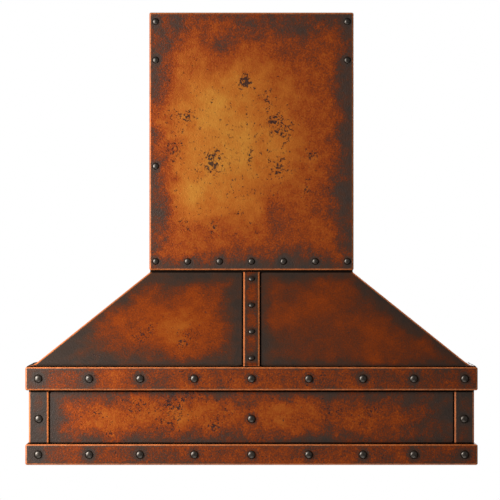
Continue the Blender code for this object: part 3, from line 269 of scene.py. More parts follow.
# ================================================================ materials
def patina_copper():
    """Fired copper: golden where it was heated most, then orange, and a dull film on the rest,
    with painted shade in its crevices and a painted highlight on its edges.

    heat runs from 0, all film, to 1, golden. Sizes are in metres.
    """
    tree = Tree("patina_copper_fired")
    clouds = tree.noise(tree.place(), 0.11, 3, 0.5)
    blotches = tree.noise(tree.place((3.1, 1.7, 5.3)), 0.032, 4, 0.6)
    grain = tree.noise(tree.place((7.7, 2.9, 0.4)), 0.0036, 2, 0.6)
    dust = tree.noise(tree.place((1.3, 8.1, 4.2)), 0.0019, 2, 0.6)

    # The film is thickest along a sheet's ragged border.
    worn, covered, rivet = tree.mark("worn"), tree.mark("covered"), tree.mark("rivet")
    pits, unrest = tree.mark("pits"), tree.mark("unrest")
    border = tree.math("MINIMUM", worn, covered)
    depth = tree.math("DIVIDE", border, tree.mark("border"))
    ragged = tree.math("ADD", tree.sway(blotches, RAGGED), tree.sway(clouds, RAGGED))
    inside = tree.step(tree.math("ADD", depth, ragged), -0.3, 1.5)

    # Clouds and blotches carry the heat up and down, and it's lower in a ring round a rivet.
    mottle = tree.math("MULTIPLY", tree.sway(blotches, SWAY), unrest)
    sway = tree.math("ADD", tree.sway(clouds, SWAY), mottle)
    heat = tree.math("ADD", tree.mark("warmth"), sway)
    heat = tree.math("SUBTRACT", heat, tree.spread(inside, BORDER_CHILL, 0.0))
    ring = tree.math("MULTIPLY", tree.step(rivet, RING_REACH, 0.0), RING_CHILL)
    heat = tree.math("SUBTRACT", heat, ring)

    # Fine stipple, loudest where the film gives way to bare colour and round the pits.
    speckle = tree.math("ADD", tree.sway(grain, 1.0), tree.sway(dust, 0.7))
    change = tree.math("MULTIPLY", tree.step(heat, 0.08, 0.26), tree.step(heat, 0.66, 0.40))
    loud = tree.math("ADD", tree.spread(change, 0.07, 0.32), tree.math("MULTIPLY", pits, 0.12))
    speckle = tree.math("MULTIPLY", speckle, unrest)
    heat = tree.math("ADD", heat, tree.math("MULTIPLY", speckle, loud), clamp=True)
    film = tree.step(heat, 0.50, 0.0)
    colour = tree.ramp(heat, linear_stops(HEAT_COLOURS))

    # Clusters of dark pits, each a few millimetres across.
    clumps = tree.noise(tree.place((8.3, 0.6, 2.7)), 0.011, 2)
    pit_size = tree.math("ADD", pits, tree.spread(clumps, -0.9, 0.7))
    spots = tree.noise(tree.place((5.9, 3.3, 9.1)), 0.0048, 3, 0.7)
    pitted = tree.step(tree.math("ADD", spots, tree.math("MULTIPLY", pit_size, 0.20)), 0.67, 0.71)
    colour = tree.mix(tree.math("MULTIPLY", pitted, 0.9), colour, linear(PIT_COLOUR))

    # Bright bare copper on exposed edges, rubbed off in places,
    # which is also a painted highlight where the folds catch the light from above.
    rubbed = tree.noise(tree.place((2.2, 6.4, 1.9)), 0.020, 3)
    reach = tree.math("ADD", worn, tree.sway(grain, 0.0014))
    bare_and_highlight = tree.math("MULTIPLY", tree.step(reach, *BARE_AND_HIGHLIGHT_REACH), tree.spread(rubbed, 0.3, 1.1))
    colour = tree.mix(bare_and_highlight, colour, linear(BARE_AND_HIGHLIGHT_COLOUR))

    # Painted shade in the crevices where another piece lies on the sheet, and a painted
    # contact shadow at the foot of a rivet. The painted shade also takes away the gloss.
    crevice_shade = tree.step(covered, *CREVICE_SHADE_REACH)
    painted_shade = tree.math("MAXIMUM", crevice_shade, tree.step(rivet, *RIVET_SHADOW_REACH))
    colour = tree.mix(tree.math("MULTIPLY", painted_shade, 0.93), colour, linear(PAINTED_SHADE_COLOUR))

    height = tree.math("ADD", tree.math("MULTIPLY", grain, 0.8), tree.math("MULTIPLY", dust, 0.4))
    height = tree.math("SUBTRACT", height, pitted)
    tree.bump(height, 0.7, 0.0011)
    gloss = tree.math("SUBTRACT", tree.spread(film, SHEEN, FILM_SHEEN), painted_shade, clamp=True)
    tree.put(tree.shader.inputs["Specular IOR Level"], gloss)
    roughness = tree.math("ADD", tree.spread(blotches, 0.38, 0.50), tree.spread(film, 0.0, 0.08))
    return tree.finish(colour, roughness, tree.spread(film, 0.40, 0.10))


def rivet_bronze():
    tree = Tree("dark_bronze_heads")
    tone = tree.noise(tree.place(), 0.010, 3)
    grain = tree.noise(tree.place(), 0.0012, 3, 0.6)
    colour = tree.ramp(tone, linear_stops(HEAD_COLOURS))
    tree.bump(grain, 0.10, 0.0003)
    tree.put(tree.shader.inputs["Specular IOR Level"], 1.0)
    tree.put(tree.shader.inputs["Specular Tint"], HEAD_GLOSS_TINT)
    return tree.finish(colour, tree.spread(tone, 0.33, 0.41), 0.0)


def brushed_stainless():
    tree = Tree("brushed_stainless_grain")
    lines = tree.noise(tree.place(stretch=(0.03, 1, 1)), 0.0011, 4, 0.6)
    smears = tree.noise(tree.place(), 0.05, 3)
    colour = tree.ramp(smears, ((0.3, (0.50, 0.50, 0.505)), (0.7, (0.60, 0.60, 0.60))))
    tree.bump(lines, 0.18, 0.0003)
    rough = tree.math("ADD", tree.spread(lines, 0.20, 0.34), tree.spread(smears, -0.03, 0.05))
    return tree.finish(colour, rough, 0.95)


def galvanised():
    tree = Tree("galvanised_spangle")
    facet = tree.crystals(tree.place(), 0.014)
    dirt = tree.noise(tree.place(), 0.03, 4)
    colour = tree.mix(facet, (0.40, 0.42, 0.44), (0.58, 0.60, 0.62))
    tree.bump(dirt, 0.12, 0.0005)
    rough = tree.math("ADD", tree.spread(facet, 0.32, 0.50), tree.spread(dirt, -0.04, 0.06))
    return tree.finish(colour, rough, 0.85)


def painted(name, colour, roughness):
    """Sprayed paint with a fine orange-peel surface and a little dust."""
    tree = Tree(name)
    peel = tree.noise(tree.place(), 0.0022, 2)
    dust = tree.noise(tree.place(), 0.03, 4)
    light = tuple(min(1.0, c * 1.5 + 0.01) for c in colour)
    tree.bump(peel, 0.2, 0.0004)
    tone = tree.mix(tree.step(dust, 0.45, 0.75), colour, light)
    return tree.finish(tone, tree.spread(dust, roughness, roughness + 0.15), 0.1)


def frosted_glass():
    tree = Tree("frosted_lens")
    frost = tree.noise(tree.place(), 0.0008, 2)
    cloud = tree.noise(tree.place(), 0.01, 3)
    colour = tree.mix(cloud, (0.86, 0.87, 0.84), (0.95, 0.95, 0.92))
    tree.bump(frost, 0.3, 0.0002)
    return tree.finish(colour, tree.spread(frost, 0.28, 0.42), 0.0)


# One finish for each material slot of the record.
FINISHES = {
    "patina_copper": patina_copper(),
    "dark_bronze": rivet_bronze(),
    "brushed_stainless": brushed_stainless(),
    "black_frame_steel": painted("satin_black_paint", (0.030, 0.030, 0.032), 0.42),
    "galvanised_sheet": galvanised(),
    "motor_grey": painted("motor_paint", (0.10, 0.10, 0.11), 0.40),
    "frosted_glass": frosted_glass(),
}


def finish_cad_nodes():
    """Gives each CAD node that stays the procedural finish of its material slot."""
    for entry in frame["record"]["subparts"]:
        obj = frame["nodes"][entry["node"]]
        for slot in obj.material_slots:
            slot.material = FINISHES[entry["material_slot"]]


# ================================================================ pieces
def link_mesh(name, shape, material):
    """Puts a finished bmesh in the scene as an object."""
    mesh = bpy.data.meshes.new(name)
    shape.to_mesh(mesh)
    shape.free()
    mesh.materials.append(material)
    obj = bpy.data.objects.new(name, mesh)
    bpy.context.scene.collection.objects.link(obj)
    return obj


def add_piece(name, shape, slot):
    """A smooth piece that hangs still with the hood, in the finish of a material slot."""
    obj = link_mesh(name, shape, FINISHES[slot])
    obj.data.shade_smooth()
    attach(obj, "root")
    return obj


# ================================================================ sheets
BORDER = 0.046  # how far the dark border of a wide sheet reaches in
EDGE_WARMTH = 0.34  # of narrow turned-in edges
PIT_FREE_EDGE = 0.012  # pits fade out over this distance from a worn edge
NEAR_EDGE = 0.0045  # the last row of faces along an edge is this wide

# The kinds of a panel's side: bare to the hand, under another piece, or neither. Sides are
# (kind, inset), where a covering piece reaches inset metres in from the side.
WORN, COVERED, PLAIN = "worn", "covered", None
WORN_SIDE, COVERED_SIDE = (WORN, 0.0), (COVERED, 0.0)


class Patina(NamedTuple):
    """What a panel's patina grows from besides its sides.

    glows and pits are (u, v, radius_u, radius_v, strength), in shares of the panel.
    """

    warmth: float
    glows: tuple = ()
    pits: tuple = ()
    rivets: tuple = ()
    border: float = BORDER
    head: float = BAND_HEAD
    unrest: float = 1.0  # how blotchy and stippled it is


class Panel:
    """A flat four-sided face. corners run anticlockwise from the lower left, seen from outside.

    sides are for the bottom, right, top and left.
    """

    def __init__(self, corners, sides, patina, lengths=None):
        self.corners = [Vector(corner) for corner in corners]
        self.sides = sides
        self.patina = patina
        self.rivets = [Vector(rivet) for rivet in patina.rivets]
        a, b, c, d = self.corners
        # Panels that share an edge must be divided alike along it.
        self.lengths = lengths or (max((b - a).length, (c - d).length), (d - a).length)

    def point(self, u, v):
        a, b, c, d = self.corners
        return a.lerp(b, u).lerp(d.lerp(c, u), v)

    def marks(self, u, v):
        """The values of MARKS at a place."""
        patina, point = self.patina, self.point(u, v)
        found = {WORN: FAR, COVERED: FAR}
        for k, side in enumerate(self.sides):
            if side is PLAIN:
                continue
            kind, inset = side
            start, end = self.corners[k], self.corners[(k + 1) % 4]
            along = (end - start).normalized()
            away = point - start
            distance = (away - along * away.dot(along)).length - inset
            found[kind] = min(found[kind], distance)
        near = min(((point - rivet).length for rivet in self.rivets), default=FAR)
        return (
            found[WORN],
            found[COVERED],
            near - patina.head,
            patina.border,
            patina.warmth + blobs(patina.glows, u, v),
            blobs(patina.pits, u, v) * min(1.0, found[WORN] / PIT_FREE_EDGE),
            patina.unrest,
        )


def blobs(spots, u, v):
    """The sum of soft spots at a place."""
    return sum(
        strength * math.exp(-(((u - at_u) / wide) ** 2) - ((v - at_v) / tall) ** 2)
        for at_u, at_v, wide, tall, strength in spots
    )


def stations(length, step):
    """Shares of a length: evenly spaced, and one more close to each end."""
    if length < 4 * NEAR_EDGE:
        return [0.0, 1.0]
    count = max(2, round(length / step))
    near = NEAR_EDGE / length
    middle = [k / count for k in range(1, count) if 1.5 * near < k / count < 1 - 1.5 * near]
    return [0.0, near, *middle, 1 - near, 1.0]


def make_sheet(node, panels, thickness, step, fold=FOLD):
    """The sheet that stands for a node, from panels that share edges.

    Its folds are round, and its thickness lies inside the panels.
    """
    shape = bmesh.new()
    layers = [shape.verts.layers.float.new(mark) for mark in MARKS]
    for panel in panels:
        a, b, _, d = panel.corners
        across, up = (stations(length, step) for length in panel.lengths)
        normal = (b - a).cross(d - a).normalized()
        rows = []
        for v in up:
            row = []
            for u in across:
                point = panel.point(u, v)
                # Broad and narrow dents, which die out at the panel's edges.
                dent = noise.noise(point * 9) + 0.4 * noise.noise(point * 31)
                held = 16 * u * (1 - u) * v * (1 - v)
                vertex = shape.verts.new(point + normal * dent * RIPPLE * min(1.0, held * 3))
                for layer, value in zip(layers, panel.marks(u, v)):
                    vertex[layer] = value
                row.append(vertex)
            rows.append(row)
        for low, high in zip(rows, rows[1:]):
            for k in range(len(low) - 1):
                shape.faces.new((low[k], low[k + 1], high[k + 1], high[k]))
    bmesh.ops.remove_doubles(shape, verts=shape.verts, dist=WELD)
    obj = add_piece(f"{node}_copper", shape, "patina_copper")
    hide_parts(node)
    soften(obj, "folds", fold, segments=3, degrees=35)
    solid = obj.modifiers.new("thickness", "SOLIDIFY")
    solid.thickness = thickness
    solid.offset = -1
    soften(obj, "edges", CUT_EDGE, segments=1, degrees=50)


def soften(obj, name, width, segments, degrees):
    """Rounds the edges that are sharper than an angle."""
    bevel = obj.modifiers.new(name, "BEVEL")
    bevel.width = width
    bevel.segments = segments
    bevel.limit_method = "ANGLE"
    bevel.angle_limit = math.radians(degrees)


def wall(start, end, low, high):
    """Corners of an upright panel from start to end, two points in plan, seen from outside."""
    return ((*start, low), (*end, low), (*end, high), (*start, high))


# ================================================================ turned pieces and rivets
HEAD_WOBBLE = 0.02  # how far a head is out of round, as a share
WOBBLES = 180  # for each metre
HEAD_STEPS, LAMP_STEPS = 24, 48  # faces round a turned piece


def lathe(shape, profile, steps, matrix, wobble=0.0):
    """Adds a closed surface turned about local Z from (radius, height) points."""
    rings = []
    for radius, height in profile:
        if radius <= 0:
            rings.append([shape.verts.new(matrix @ Vector((0, 0, height)))])
            continue
        ring = []
        for k in range(steps):
            angle = 2 * math.pi * k / steps
            spot = Vector((math.cos(angle) * radius, math.sin(angle) * radius, height))
            world = matrix @ spot
            if wobble:
                world += (world - matrix.translation) * noise.noise(world * WOBBLES) * wobble
            ring.append(shape.verts.new(world))
        rings.append(ring)
    for lower, upper in zip(rings, rings[1:]):
        for k in range(steps):
            after = (k + 1) % steps
            if len(upper) == 1:
                shape.faces.new((lower[k], lower[after], upper[0]))
            elif len(lower) == 1:
                shape.faces.new((lower[0], upper[after], upper[k]))
            else:
                shape.faces.new((lower[k], lower[after], upper[after], upper[k]))


def head_profile(radius):
    """A hand-set rivet head: a sunk foot, a short skirt, then a dome."""
    steps = 7
    rise = radius * HEAD_RISE
    points = [
        (0.0, -HEAD_SUNK),
        (radius * 0.90, -HEAD_SUNK),
        (radius, 0.0),
        (radius, HEAD_SKIRT),
    ]
    for k in range(1, steps):
        angle = math.pi / 2 * k / steps
        height = HEAD_SKIRT + (rise - HEAD_SKIRT) * math.sin(angle)
        points.append((radius * math.cos(angle), height))
    return [*points, (0.0, rise)]


def make_rivets(name, radius, seats):
    """One piece holding the rivet heads of one sheet, each at (point, outward direction)."""
    shape = bmesh.new()
    for point, direction in seats:
        turn = Vector(direction).to_track_quat("Z", "Y")
        seat = Matrix.LocRotScale(Vector(point), turn, None)
        lathe(shape, head_profile(radius), HEAD_STEPS, seat, HEAD_WOBBLE)
    add_piece(name, shape, "dark_bronze")


# ================================================================ the copper shell
CHIMNEY_WARMTH, CHIMNEY_SIDE_WARMTH = 0.40, 0.30
CHIMNEY_SIDE_GLOW = ((0.5, 0.5, 0.6, 0.4, 0.20),)
CHIMNEY_GLOWS = (
    (0.42, 0.50, 0.36, 0.34, 0.35),
    (0.31, 0.67, 0.20, 0.13, 0.16),
    (0.38, 0.48, 0.24, 0.16, 0.14),
    (0.20, 0.29, 0.12, 0.09, 0.26),
    (0.38, 0.27, 0.18, 0.09, 0.12),
    (0.66, 0.60, 0.14, 0.16, 0.10),
    (0.18, 0.82, 0.10, 0.06, 0.16),
    (0.45, 1.00, 0.34, 0.08, 0.22),
    (0.00, 0.50, 0.08, 0.60, 0.15),
    (0.35, 0.88, 0.06, 0.04, -0.26),
    (0.50, 0.93, 0.07, 0.04, -0.12),
    (0.72, 0.92, 0.10, 0.04, -0.08),
    (0.62, 0.22, 0.07, 0.06, -0.22),
    (0.05, 0.70, 0.07, 0.08, -0.16),
    (0.05, 0.21, 0.07, 0.07, -0.18),
    (0.97, 0.66, 0.06, 0.12, -0.12),
)
CHIMNEY_PITS = (
    (0.468, 0.731, 0.040, 0.030, 1.20),
    (0.185, 0.596, 0.050, 0.030, 0.80),
    (0.104, 0.614, 0.030, 0.030, 0.70),
    (0.125, 0.470, 0.050, 0.050, 0.75),
    (0.325, 0.453, 0.035, 0.030, 0.75),
    (0.300, 0.405, 0.060, 0.035, 0.72),
    (0.612, 0.590, 0.040, 0.035, 0.75),
    (0.655, 0.545, 0.050, 0.040, 0.80),
    (0.580, 0.675, 0.040, 0.040, 0.60),
    (0.640, 0.390, 0.050, 0.045, 0.66),
    (0.795, 0.450, 0.040, 0.022, 0.75),
    (0.495, 0.440, 0.016, 0.030, 0.75),
    (0.770, 0.310, 0.030, 0.050, 0.50),
    (0.320, 0.160, 0.034, 0.026, 0.70),
    (0.160, 0.170, 0.034, 0.026, 0.50),
    (0.400, 0.460, 0.36, 0.34, 0.30),
)
SOFT_GLOW = ((0.5, 0.52, 0.34, 0.34, 0.22), (0.3, 0.35, 0.2, 0.2, 0.10))
SOFT_PITS = ((0.55, 0.6, 0.10, 0.08, 0.5), (0.3, 0.35, 0.16, 0.10, 0.35))


def chimney_rivets(face):
    """Seats of the rivets on one chimney cover. face is -1 at the front."""
    row_z = CHIMNEY_LOW + CHIMNEY_ROW_RISE
    row_end = CHIMNEY_X - CHIMNEY_RIVET_INSET
    spots = [(row_end * k / 3, row_z) for k in range(-3, 4)]
    for side in (-1, 1):
        # The front's right edge has no third rivet.
        drops = CHIMNEY_RIVET_DROPS[:2] if (face, side) == (-1, 1) else CHIMNEY_RIVET_DROPS
        spots += [(side * row_end, -drop) for drop in drops]
    return [((x, face * CHIMNEY_Y, z), (0, face, 0)) for x, z in spots]


def points_of(seats):
    return tuple(point for point, _ in seats)


def hemmed(start, end, low, high, patina, insets):
    """An upright panel with a narrow hem turned in along its top and bottom."""
    in_start, in_end = insets
    top = ((*start, high), (*end, high), (*in_end, high), (*in_start, high))
    bottom = ((*in_start, low), (*in_end, low), (*end, low), (*start, low))
    # The hems take the wall's own rivets and border, so nothing jumps at the fold.
    hem_patina = patina._replace(warmth=EDGE_WARMTH, glows=(), pits=())
    return [
        Panel(wall(start, end, low, high), (WORN_SIDE,) * 4, patina),
        Panel(top, (WORN_SIDE, PLAIN, PLAIN, PLAIN), hem_patina),
        Panel(bottom, (PLAIN, PLAIN, WORN_SIDE, PLAIN), hem_patina),
    ]


def make_chimney():
    for name, face in (("chimney_front_cover", -1), ("chimney_rear_cover", 1)):
        seats = chimney_rivets(face)
        # Seen from above, the path runs anticlockwise from one seam to the other.
        x, y, seam = -face * CHIMNEY_X, face * CHIMNEY_Y, face * GAP / 2
        path = ((-x, seam), (-x, y), (x, y), (x, seam))
        hem_x, hem_y = x - math.copysign(HEM, x), y - face * HEM
        hem = ((-hem_x, seam), (-hem_x, hem_y), (hem_x, hem_y), (hem_x, seam))
        glows = CHIMNEY_GLOWS if face < 0 else SOFT_GLOW
        pits = CHIMNEY_PITS if face < 0 else SOFT_PITS
        broad = Patina(CHIMNEY_WARMTH, glows, pits, points_of(seats), head=SMALL_HEAD)
        flank = broad._replace(
            warmth=CHIMNEY_SIDE_WARMTH, glows=CHIMNEY_SIDE_GLOW, pits=SOFT_PITS
        )
        panels = []
        for k, patina in enumerate((flank, broad, flank)):
            ends = hem[k], hem[k + 1]
            panels += hemmed(path[k], path[k + 1], CHIMNEY_LOW, CHIMNEY_HIGH, patina, ends)
        make_sheet(name, panels, COPPER, MEDIUM, CHIMNEY_FOLD)
        make_rivets(f"{name}_rivets", SMALL_HEAD, seats)


def canopy_levels():
    """Half width, half depth and z of the neck's top, the slope's top, the flare and the foot."""
    foot_x, foot_y = BAND_X - SLOPE_FOOT_INSET, BAND_Y - SLOPE_FOOT_INSET
    drop = SLOPE_TOP - UPPER_HIGH
    share = (drop - FLARE_HEIGHT) / drop
    return (
        (NECK_X, NECK_Y, SLOPE_TOP + NECK_HEIGHT),
        (NECK_X, NECK_Y, SLOPE_TOP),
        (
            NECK_X + (foot_x - NECK_X) * share,
            NECK_Y + (foot_y - NECK_Y) * share,
            UPPER_HIGH + FLARE_HEIGHT,
        ),
        (BAND_X - FLARE_INSET, BAND_Y - FLARE_INSET, UPPER_HIGH + COPPER + GAP),
    )


CANOPY_LEFT_GLOWS = (
    (0.50, 0.45, 0.30, 0.34, 0.09),
    (0.74, 0.50, 0.20, 0.34, 0.04),
    (0.36, 0.30, 0.10, 0.12, 0.06),
    (0.06, 0.10, 0.22, 0.22, -0.20),
    (0.46, 0.08, 0.12, 0.12, -0.22),
    (0.30, 0.86, 0.20, 0.12, -0.14),
)
CANOPY_RIGHT_GLOWS = (
    (0.40, 0.55, 0.34, 0.34, 0.06),
    (0.60, 0.36, 0.22, 0.26, 0.04),
    (0.06, 0.12, 0.16, 0.22, -0.10),
)
CANOPY_LEFT_PITS = (
    (0.40, 0.33, 0.060, 0.12, 0.80),
    (0.645, 0.28, 0.050, 0.13, 0.85),
    (0.70, 0.60, 0.030, 0.05, 0.75),
    (0.22, 0.10, 0.060, 0.05, 0.50),
)
CANOPY_RIGHT_PITS = ((0.55, 0.35, 0.06, 0.08, 0.30),)
# The front of the left and right half. The photograph's right half is darker and calmer.
CANOPY_LOOKS = {
    -1: Patina(0.355, CANOPY_LEFT_GLOWS, CANOPY_LEFT_PITS, border=0.042, unrest=0.75),
    1: Patina(0.33, CANOPY_RIGHT_GLOWS, CANOPY_RIGHT_PITS, border=0.028, unrest=0.5),
}
CANOPY_REAR_WARMTH, CANOPY_SIDE_WARMTH = 0.36, 0.34
SHADOW_START = 0.0022  # painted shadow below the chimney starts this far above the slope's top edge


def canopy_sides(levels, step, axis):
    """The bottom and top side of a panel of the neck, the slope or the flare: steps 0, 1 and 2.

    Two panels have the same marks where they meet, so nothing jumps at the fold. axis is 0 on
    the hood's left and right, and 1 on its front and rear.
    """
    neck, _, flare = (
        math.hypot(upper[axis] - lower[axis], upper[2] - lower[2])
        for upper, lower in zip(levels, levels[1:])
    )
    bottom = (PLAIN, (COVERED, -flare), (COVERED, 0.0))[step]
    top = ((COVERED, neck - SHADOW_START), (COVERED, -SHADOW_START), PLAIN)[step]
    return bottom, top


def make_canopy():
    """Two halves that meet under the seam straps, each with a front, a side and a rear slope."""
    levels = canopy_levels()
    seam = (COVERED, SEAM_HALF)
    for name, side in (("canopy_left_skin", -1), ("canopy_right_skin", 1)):
        front = CANOPY_LOOKS[side]
        plain = front._replace(glows=SOFT_GLOW, pits=CANOPY_RIGHT_PITS)
        looks = {-1: front, 1: plain._replace(warmth=CANOPY_REAR_WARMTH)}
        flank = plain._replace(warmth=CANOPY_SIDE_WARMTH)
        near = side * GAP / 2
        panels = []
        for step, (upper, lower) in enumerate(zip(levels, levels[1:])):
            rise = upper[2] - lower[2]
            x_low, y_low, z_low = side * lower[0], lower[1], lower[2]
            x_high, y_high, z_high = side * upper[0], upper[1], upper[2]
            bottom, top = canopy_sides(levels, step, axis=1)
            for face in (-1, 1):
                at_seam = ((near, face * y_low, z_low), (near, face * y_high, z_high))
                at_hip = ((x_low, face * y_low, z_low), (x_high, face * y_high, z_high))
                if side == -face:  # seen from outside, the seam is on the left
                    left, right, edges = at_seam, at_hip, (bottom, WORN_SIDE, top, seam)
                else:
                    left, right, edges = at_hip, at_seam, (bottom, seam, top, WORN_SIDE)
                corners = (left[0], right[0], right[1], left[1])
                panels.append(Panel(corners, edges, looks[face], (BAND_X, rise)))
            corners = (
                (x_low, -side * y_low, z_low),
                (x_low, side * y_low, z_low),
                (x_high, side * y_high, z_high),
                (x_high, -side * y_high, z_high),
            )
            bottom, top = canopy_sides(levels, step, axis=0)
            edges = (bottom, WORN_SIDE, top, WORN_SIDE)
            panels.append(Panel(corners, edges, flank, (2 * BAND_Y, rise)))
        make_sheet(name, panels, COPPER, COARSE)


SEAM_STRAP_LOOK = Patina(0.36, border=0.010, head=SMALL_HEAD)


def make_seam_straps():
    """Straps with a knee, which follow the slope and then the flare."""
    levels = canopy_levels()
    stand = STRAP + GAP
    drop = SLOPE_TOP - UPPER_HIGH
    for name, face in (("seam_strap_front", -1), ("seam_strap_rear", 1)):
        line = [Vector((0, face * level[1], level[2])) for level in levels[1:]]
        run = (line[1] - line[0]).normalized()
        outward = Vector((0, face, 0)) - run * run.dot(Vector((0, face, 0)))
        outward.normalize()
        seats = []
        for share in STRAP_RIVET_SHARES:
            scale = share * drop / (SLOPE_TOP - line[1].z)
            seats.append((line[0].lerp(line[1], scale) + outward * stand, outward))
        top = line[0] + run * STRAP_TOP_GAP + outward * stand
        knee = line[1] + outward * stand
        foot = line[2] + Vector((0, face * STRAP_FOOT_OUT, STRAP_FOOT_RISE))
        left = Vector((face * SEAM_HALF, 0, 0))
        patina = SEAM_STRAP_LOOK._replace(rivets=points_of(seats))
        panels = []
        for upper, lower in ((top, knee), (knee, foot)):
            corners = (lower + left, lower - left, upper - left, upper + left)
            panels.append(Panel(corners, (PLAIN, WORN_SIDE, PLAIN, WORN_SIDE), patina))
        make_sheet(name, panels, STRAP, FINE)
        make_rivets(f"{name}_rivets", SMALL_HEAD, seats)


def ring_path(half_x, half_y):
    """The corners in plan, anticlockwise from the front left."""
    return ((-half_x, -half_y), (half_x, -half_y), (half_x, half_y), (-half_x, half_y))


# Warm and dark spots of the patina; the broad dark one at the right end is partly patina
# and partly painted shade, where less light reaches.
BAND_GLOWS_AND_PAINTED_SHADE = (
    (0.19, 0.4, 0.04, 0.8, 0.08),
    (0.10, 0.5, 0.12, 0.9, -0.05),
    (0.44, 0.5, 0.16, 0.8, 0.05),
    (0.01, 0.5, 0.05, 0.8, -0.24),
    (0.14, 0.5, 0.02, 0.6, -0.14),
    (0.26, 0.5, 0.05, 0.6, -0.14),
    (0.95, 0.5, 0.30, 0.8, -0.10),
)
BAND_PITS = ((0.5, 0.5, 0.6, 0.9, 0.36),)
BAND_BORDER = 0.006
UPPER_WARMTH, LOWER_WARMTH = 0.405, 0.375


def make_bands():
    """Folded channels: an upright face with a narrow return along its top and bottom."""
    bands = (
        ("upper_band", UPPER_LOW, UPPER_HIGH, UPPER_WARMTH),
        ("lower_band", LOWER_LOW, LOWER_HIGH, LOWER_WARMTH),
    )
    for name, low, high, warmth in bands:
        middle = (low + high) / 2
        seats = []
        for side in (-1, 1):
            seats += [((x, side * BAND_Y, middle), (0, side, 0)) for x in BAND_RIVETS_X]
        out = ring_path(BAND_X, BAND_Y)
        inner = ring_path(BAND_X - BAND_RETURN, BAND_Y - BAND_RETURN)
        panels = []
        patina = Patina(warmth, BAND_GLOWS_AND_PAINTED_SHADE, BAND_PITS, points_of(seats), BAND_BORDER)
        for k in range(4):
            after = (k + 1) % 4
            panels += hemmed(out[k], out[after], low, high, patina, (inner[k], inner[after]))
        make_sheet(name, panels, COPPER, FINE, BAND_FOLD)
        make_rivets(f"{name}_rivets", BAND_HEAD, seats)


# Warm and dark spots of the patina; their strength falling from the left end to the right end
# is partly patina and partly painted light, brighter on the left and shaded on the right.
APRON_GLOWS_AND_PAINTED_FALLOFF = (
    (0.18, 0.50, 0.10, 0.30, 0.13),
    (0.34, 0.55, 0.12, 0.30, 0.06),
    (0.52, 0.52, 0.12, 0.30, 0.05),
    (0.70, 0.50, 0.14, 0.28, 0.04),
    (0.84, 0.48, 0.08, 0.24, 0.04),
    (1.00, 0.50, 0.40, 0.90, -0.06),
    (0.29, 0.86, 0.06, 0.10, -0.16),
    (0.40, 0.12, 0.05, 0.12, -0.12),
    (0.04, 0.50, 0.06, 0.90, -0.20),
    (0.96, 0.50, 0.06, 0.90, -0.20),
)
APRON_PITS = (
    (0.325, 0.62, 0.022, 0.09, 0.80),
    (0.315, 0.44, 0.030, 0.10, 0.45),
    (0.415, 0.40, 0.020, 0.11, 0.65),
    (0.245, 0.58, 0.030, 0.08, 0.45),
    (0.145, 0.54, 0.028, 0.08, 0.45),
    (0.180, 0.32, 0.010, 0.03, 1.00),
    (0.360, 0.74, 0.024, 0.08, 0.60),
    (0.690, 0.55, 0.030, 0.10, 0.50),
    (0.775, 0.56, 0.030, 0.08, 0.60),
    (0.400, 0.50, 0.45, 0.60, 0.22),
)
APRON_WARMTH, APRON_BORDER = 0.44, 0.034


def make_aprons():
    """Flat panels between the bands, which end under the bands and the corner straps."""
    rivet_z = (UPPER_LOW + LOWER_HIGH) / 2 - APRON_RIVET_DROP
    under_strap = (COVERED, CORNER_LEG - (CORNER_X - APRON_X))
    bottom = (COVERED, LOWER_HIGH - APRON_LOW)
    top = (COVERED, APRON_HIGH - UPPER_LOW)
    sides = (bottom, under_strap, top, under_strap)
    path = ring_path(APRON_X, APRON_Y)
    inner = ring_path(APRON_X, APRON_Y - COPPER - GAP)
    rows = (
        ("apron_front", path[0], path[1], (0, -1), (0, -APRON_Y)),
        ("apron_right", inner[1], inner[2], (1, 0), (APRON_X, 0)),
        ("apron_rear", path[2], path[3], (0, 1), (0, APRON_Y)),
        ("apron_left", inner[3], inner[0], (-1, 0), (-APRON_X, 0)),
    )
    for name, start, end, direction, spot in rows:
        # Only the front and rear have a rivet.
        seats = [((*spot, rivet_z), (*direction, 0))] if direction[1] else []
        glows = APRON_GLOWS_AND_PAINTED_FALLOFF if name == "apron_front" else SOFT_GLOW
        patina = Patina(APRON_WARMTH, glows, APRON_PITS, points_of(seats), APRON_BORDER)
        panel = Panel(wall(start, end, APRON_LOW, APRON_HIGH), sides, patina)
        make_sheet(name, [panel], COPPER, MEDIUM)
        if seats:
            make_rivets(f"{name}_rivet", BAND_HEAD, seats)


CORNER_STRAP_LOOK = Patina(0.10, border=0.012)


def make_corner_straps():
    """Angles with a leg on each side of a corner. Only the leg in front or behind has a rivet."""
    rivet_z = (CORNER_LOW + CORNER_HIGH) / 2 - APRON_RIVET_DROP
    middle = CORNER_LEG / 2
    for face, end in ((-1, "front"), (1, "rear")):
        for side, hand in ((-1, "left"), (1, "right")):
            name = f"corner_strap_{end}_{hand}"
            corner = (side * CORNER_X, face * CORNER_Y)
            on_face = (side * (CORNER_X - CORNER_LEG), face * CORNER_Y)
            on_side = (side * CORNER_X, face * (CORNER_Y - CORNER_LEG))
            # Seen from above, the path runs anticlockwise round the hood.
            path = (on_face, corner, on_side)
            if side * face > 0:
                path = (on_side, corner, on_face)
            seats = [((side * (CORNER_X - middle), face * CORNER_Y, rivet_z), (0, face, 0))]
            patina = CORNER_STRAP_LOOK._replace(rivets=points_of(seats))
            sides = (COVERED_SIDE, WORN_SIDE) * 2
            panels = [
                Panel(wall(start, stop, CORNER_LOW, CORNER_HIGH), sides, patina)
                for start, stop in zip(path, path[1:])
            ]
            make_sheet(name, panels, STRAP, FINE)
            make_rivets(f"{name}_rivets", BAND_HEAD, seats)


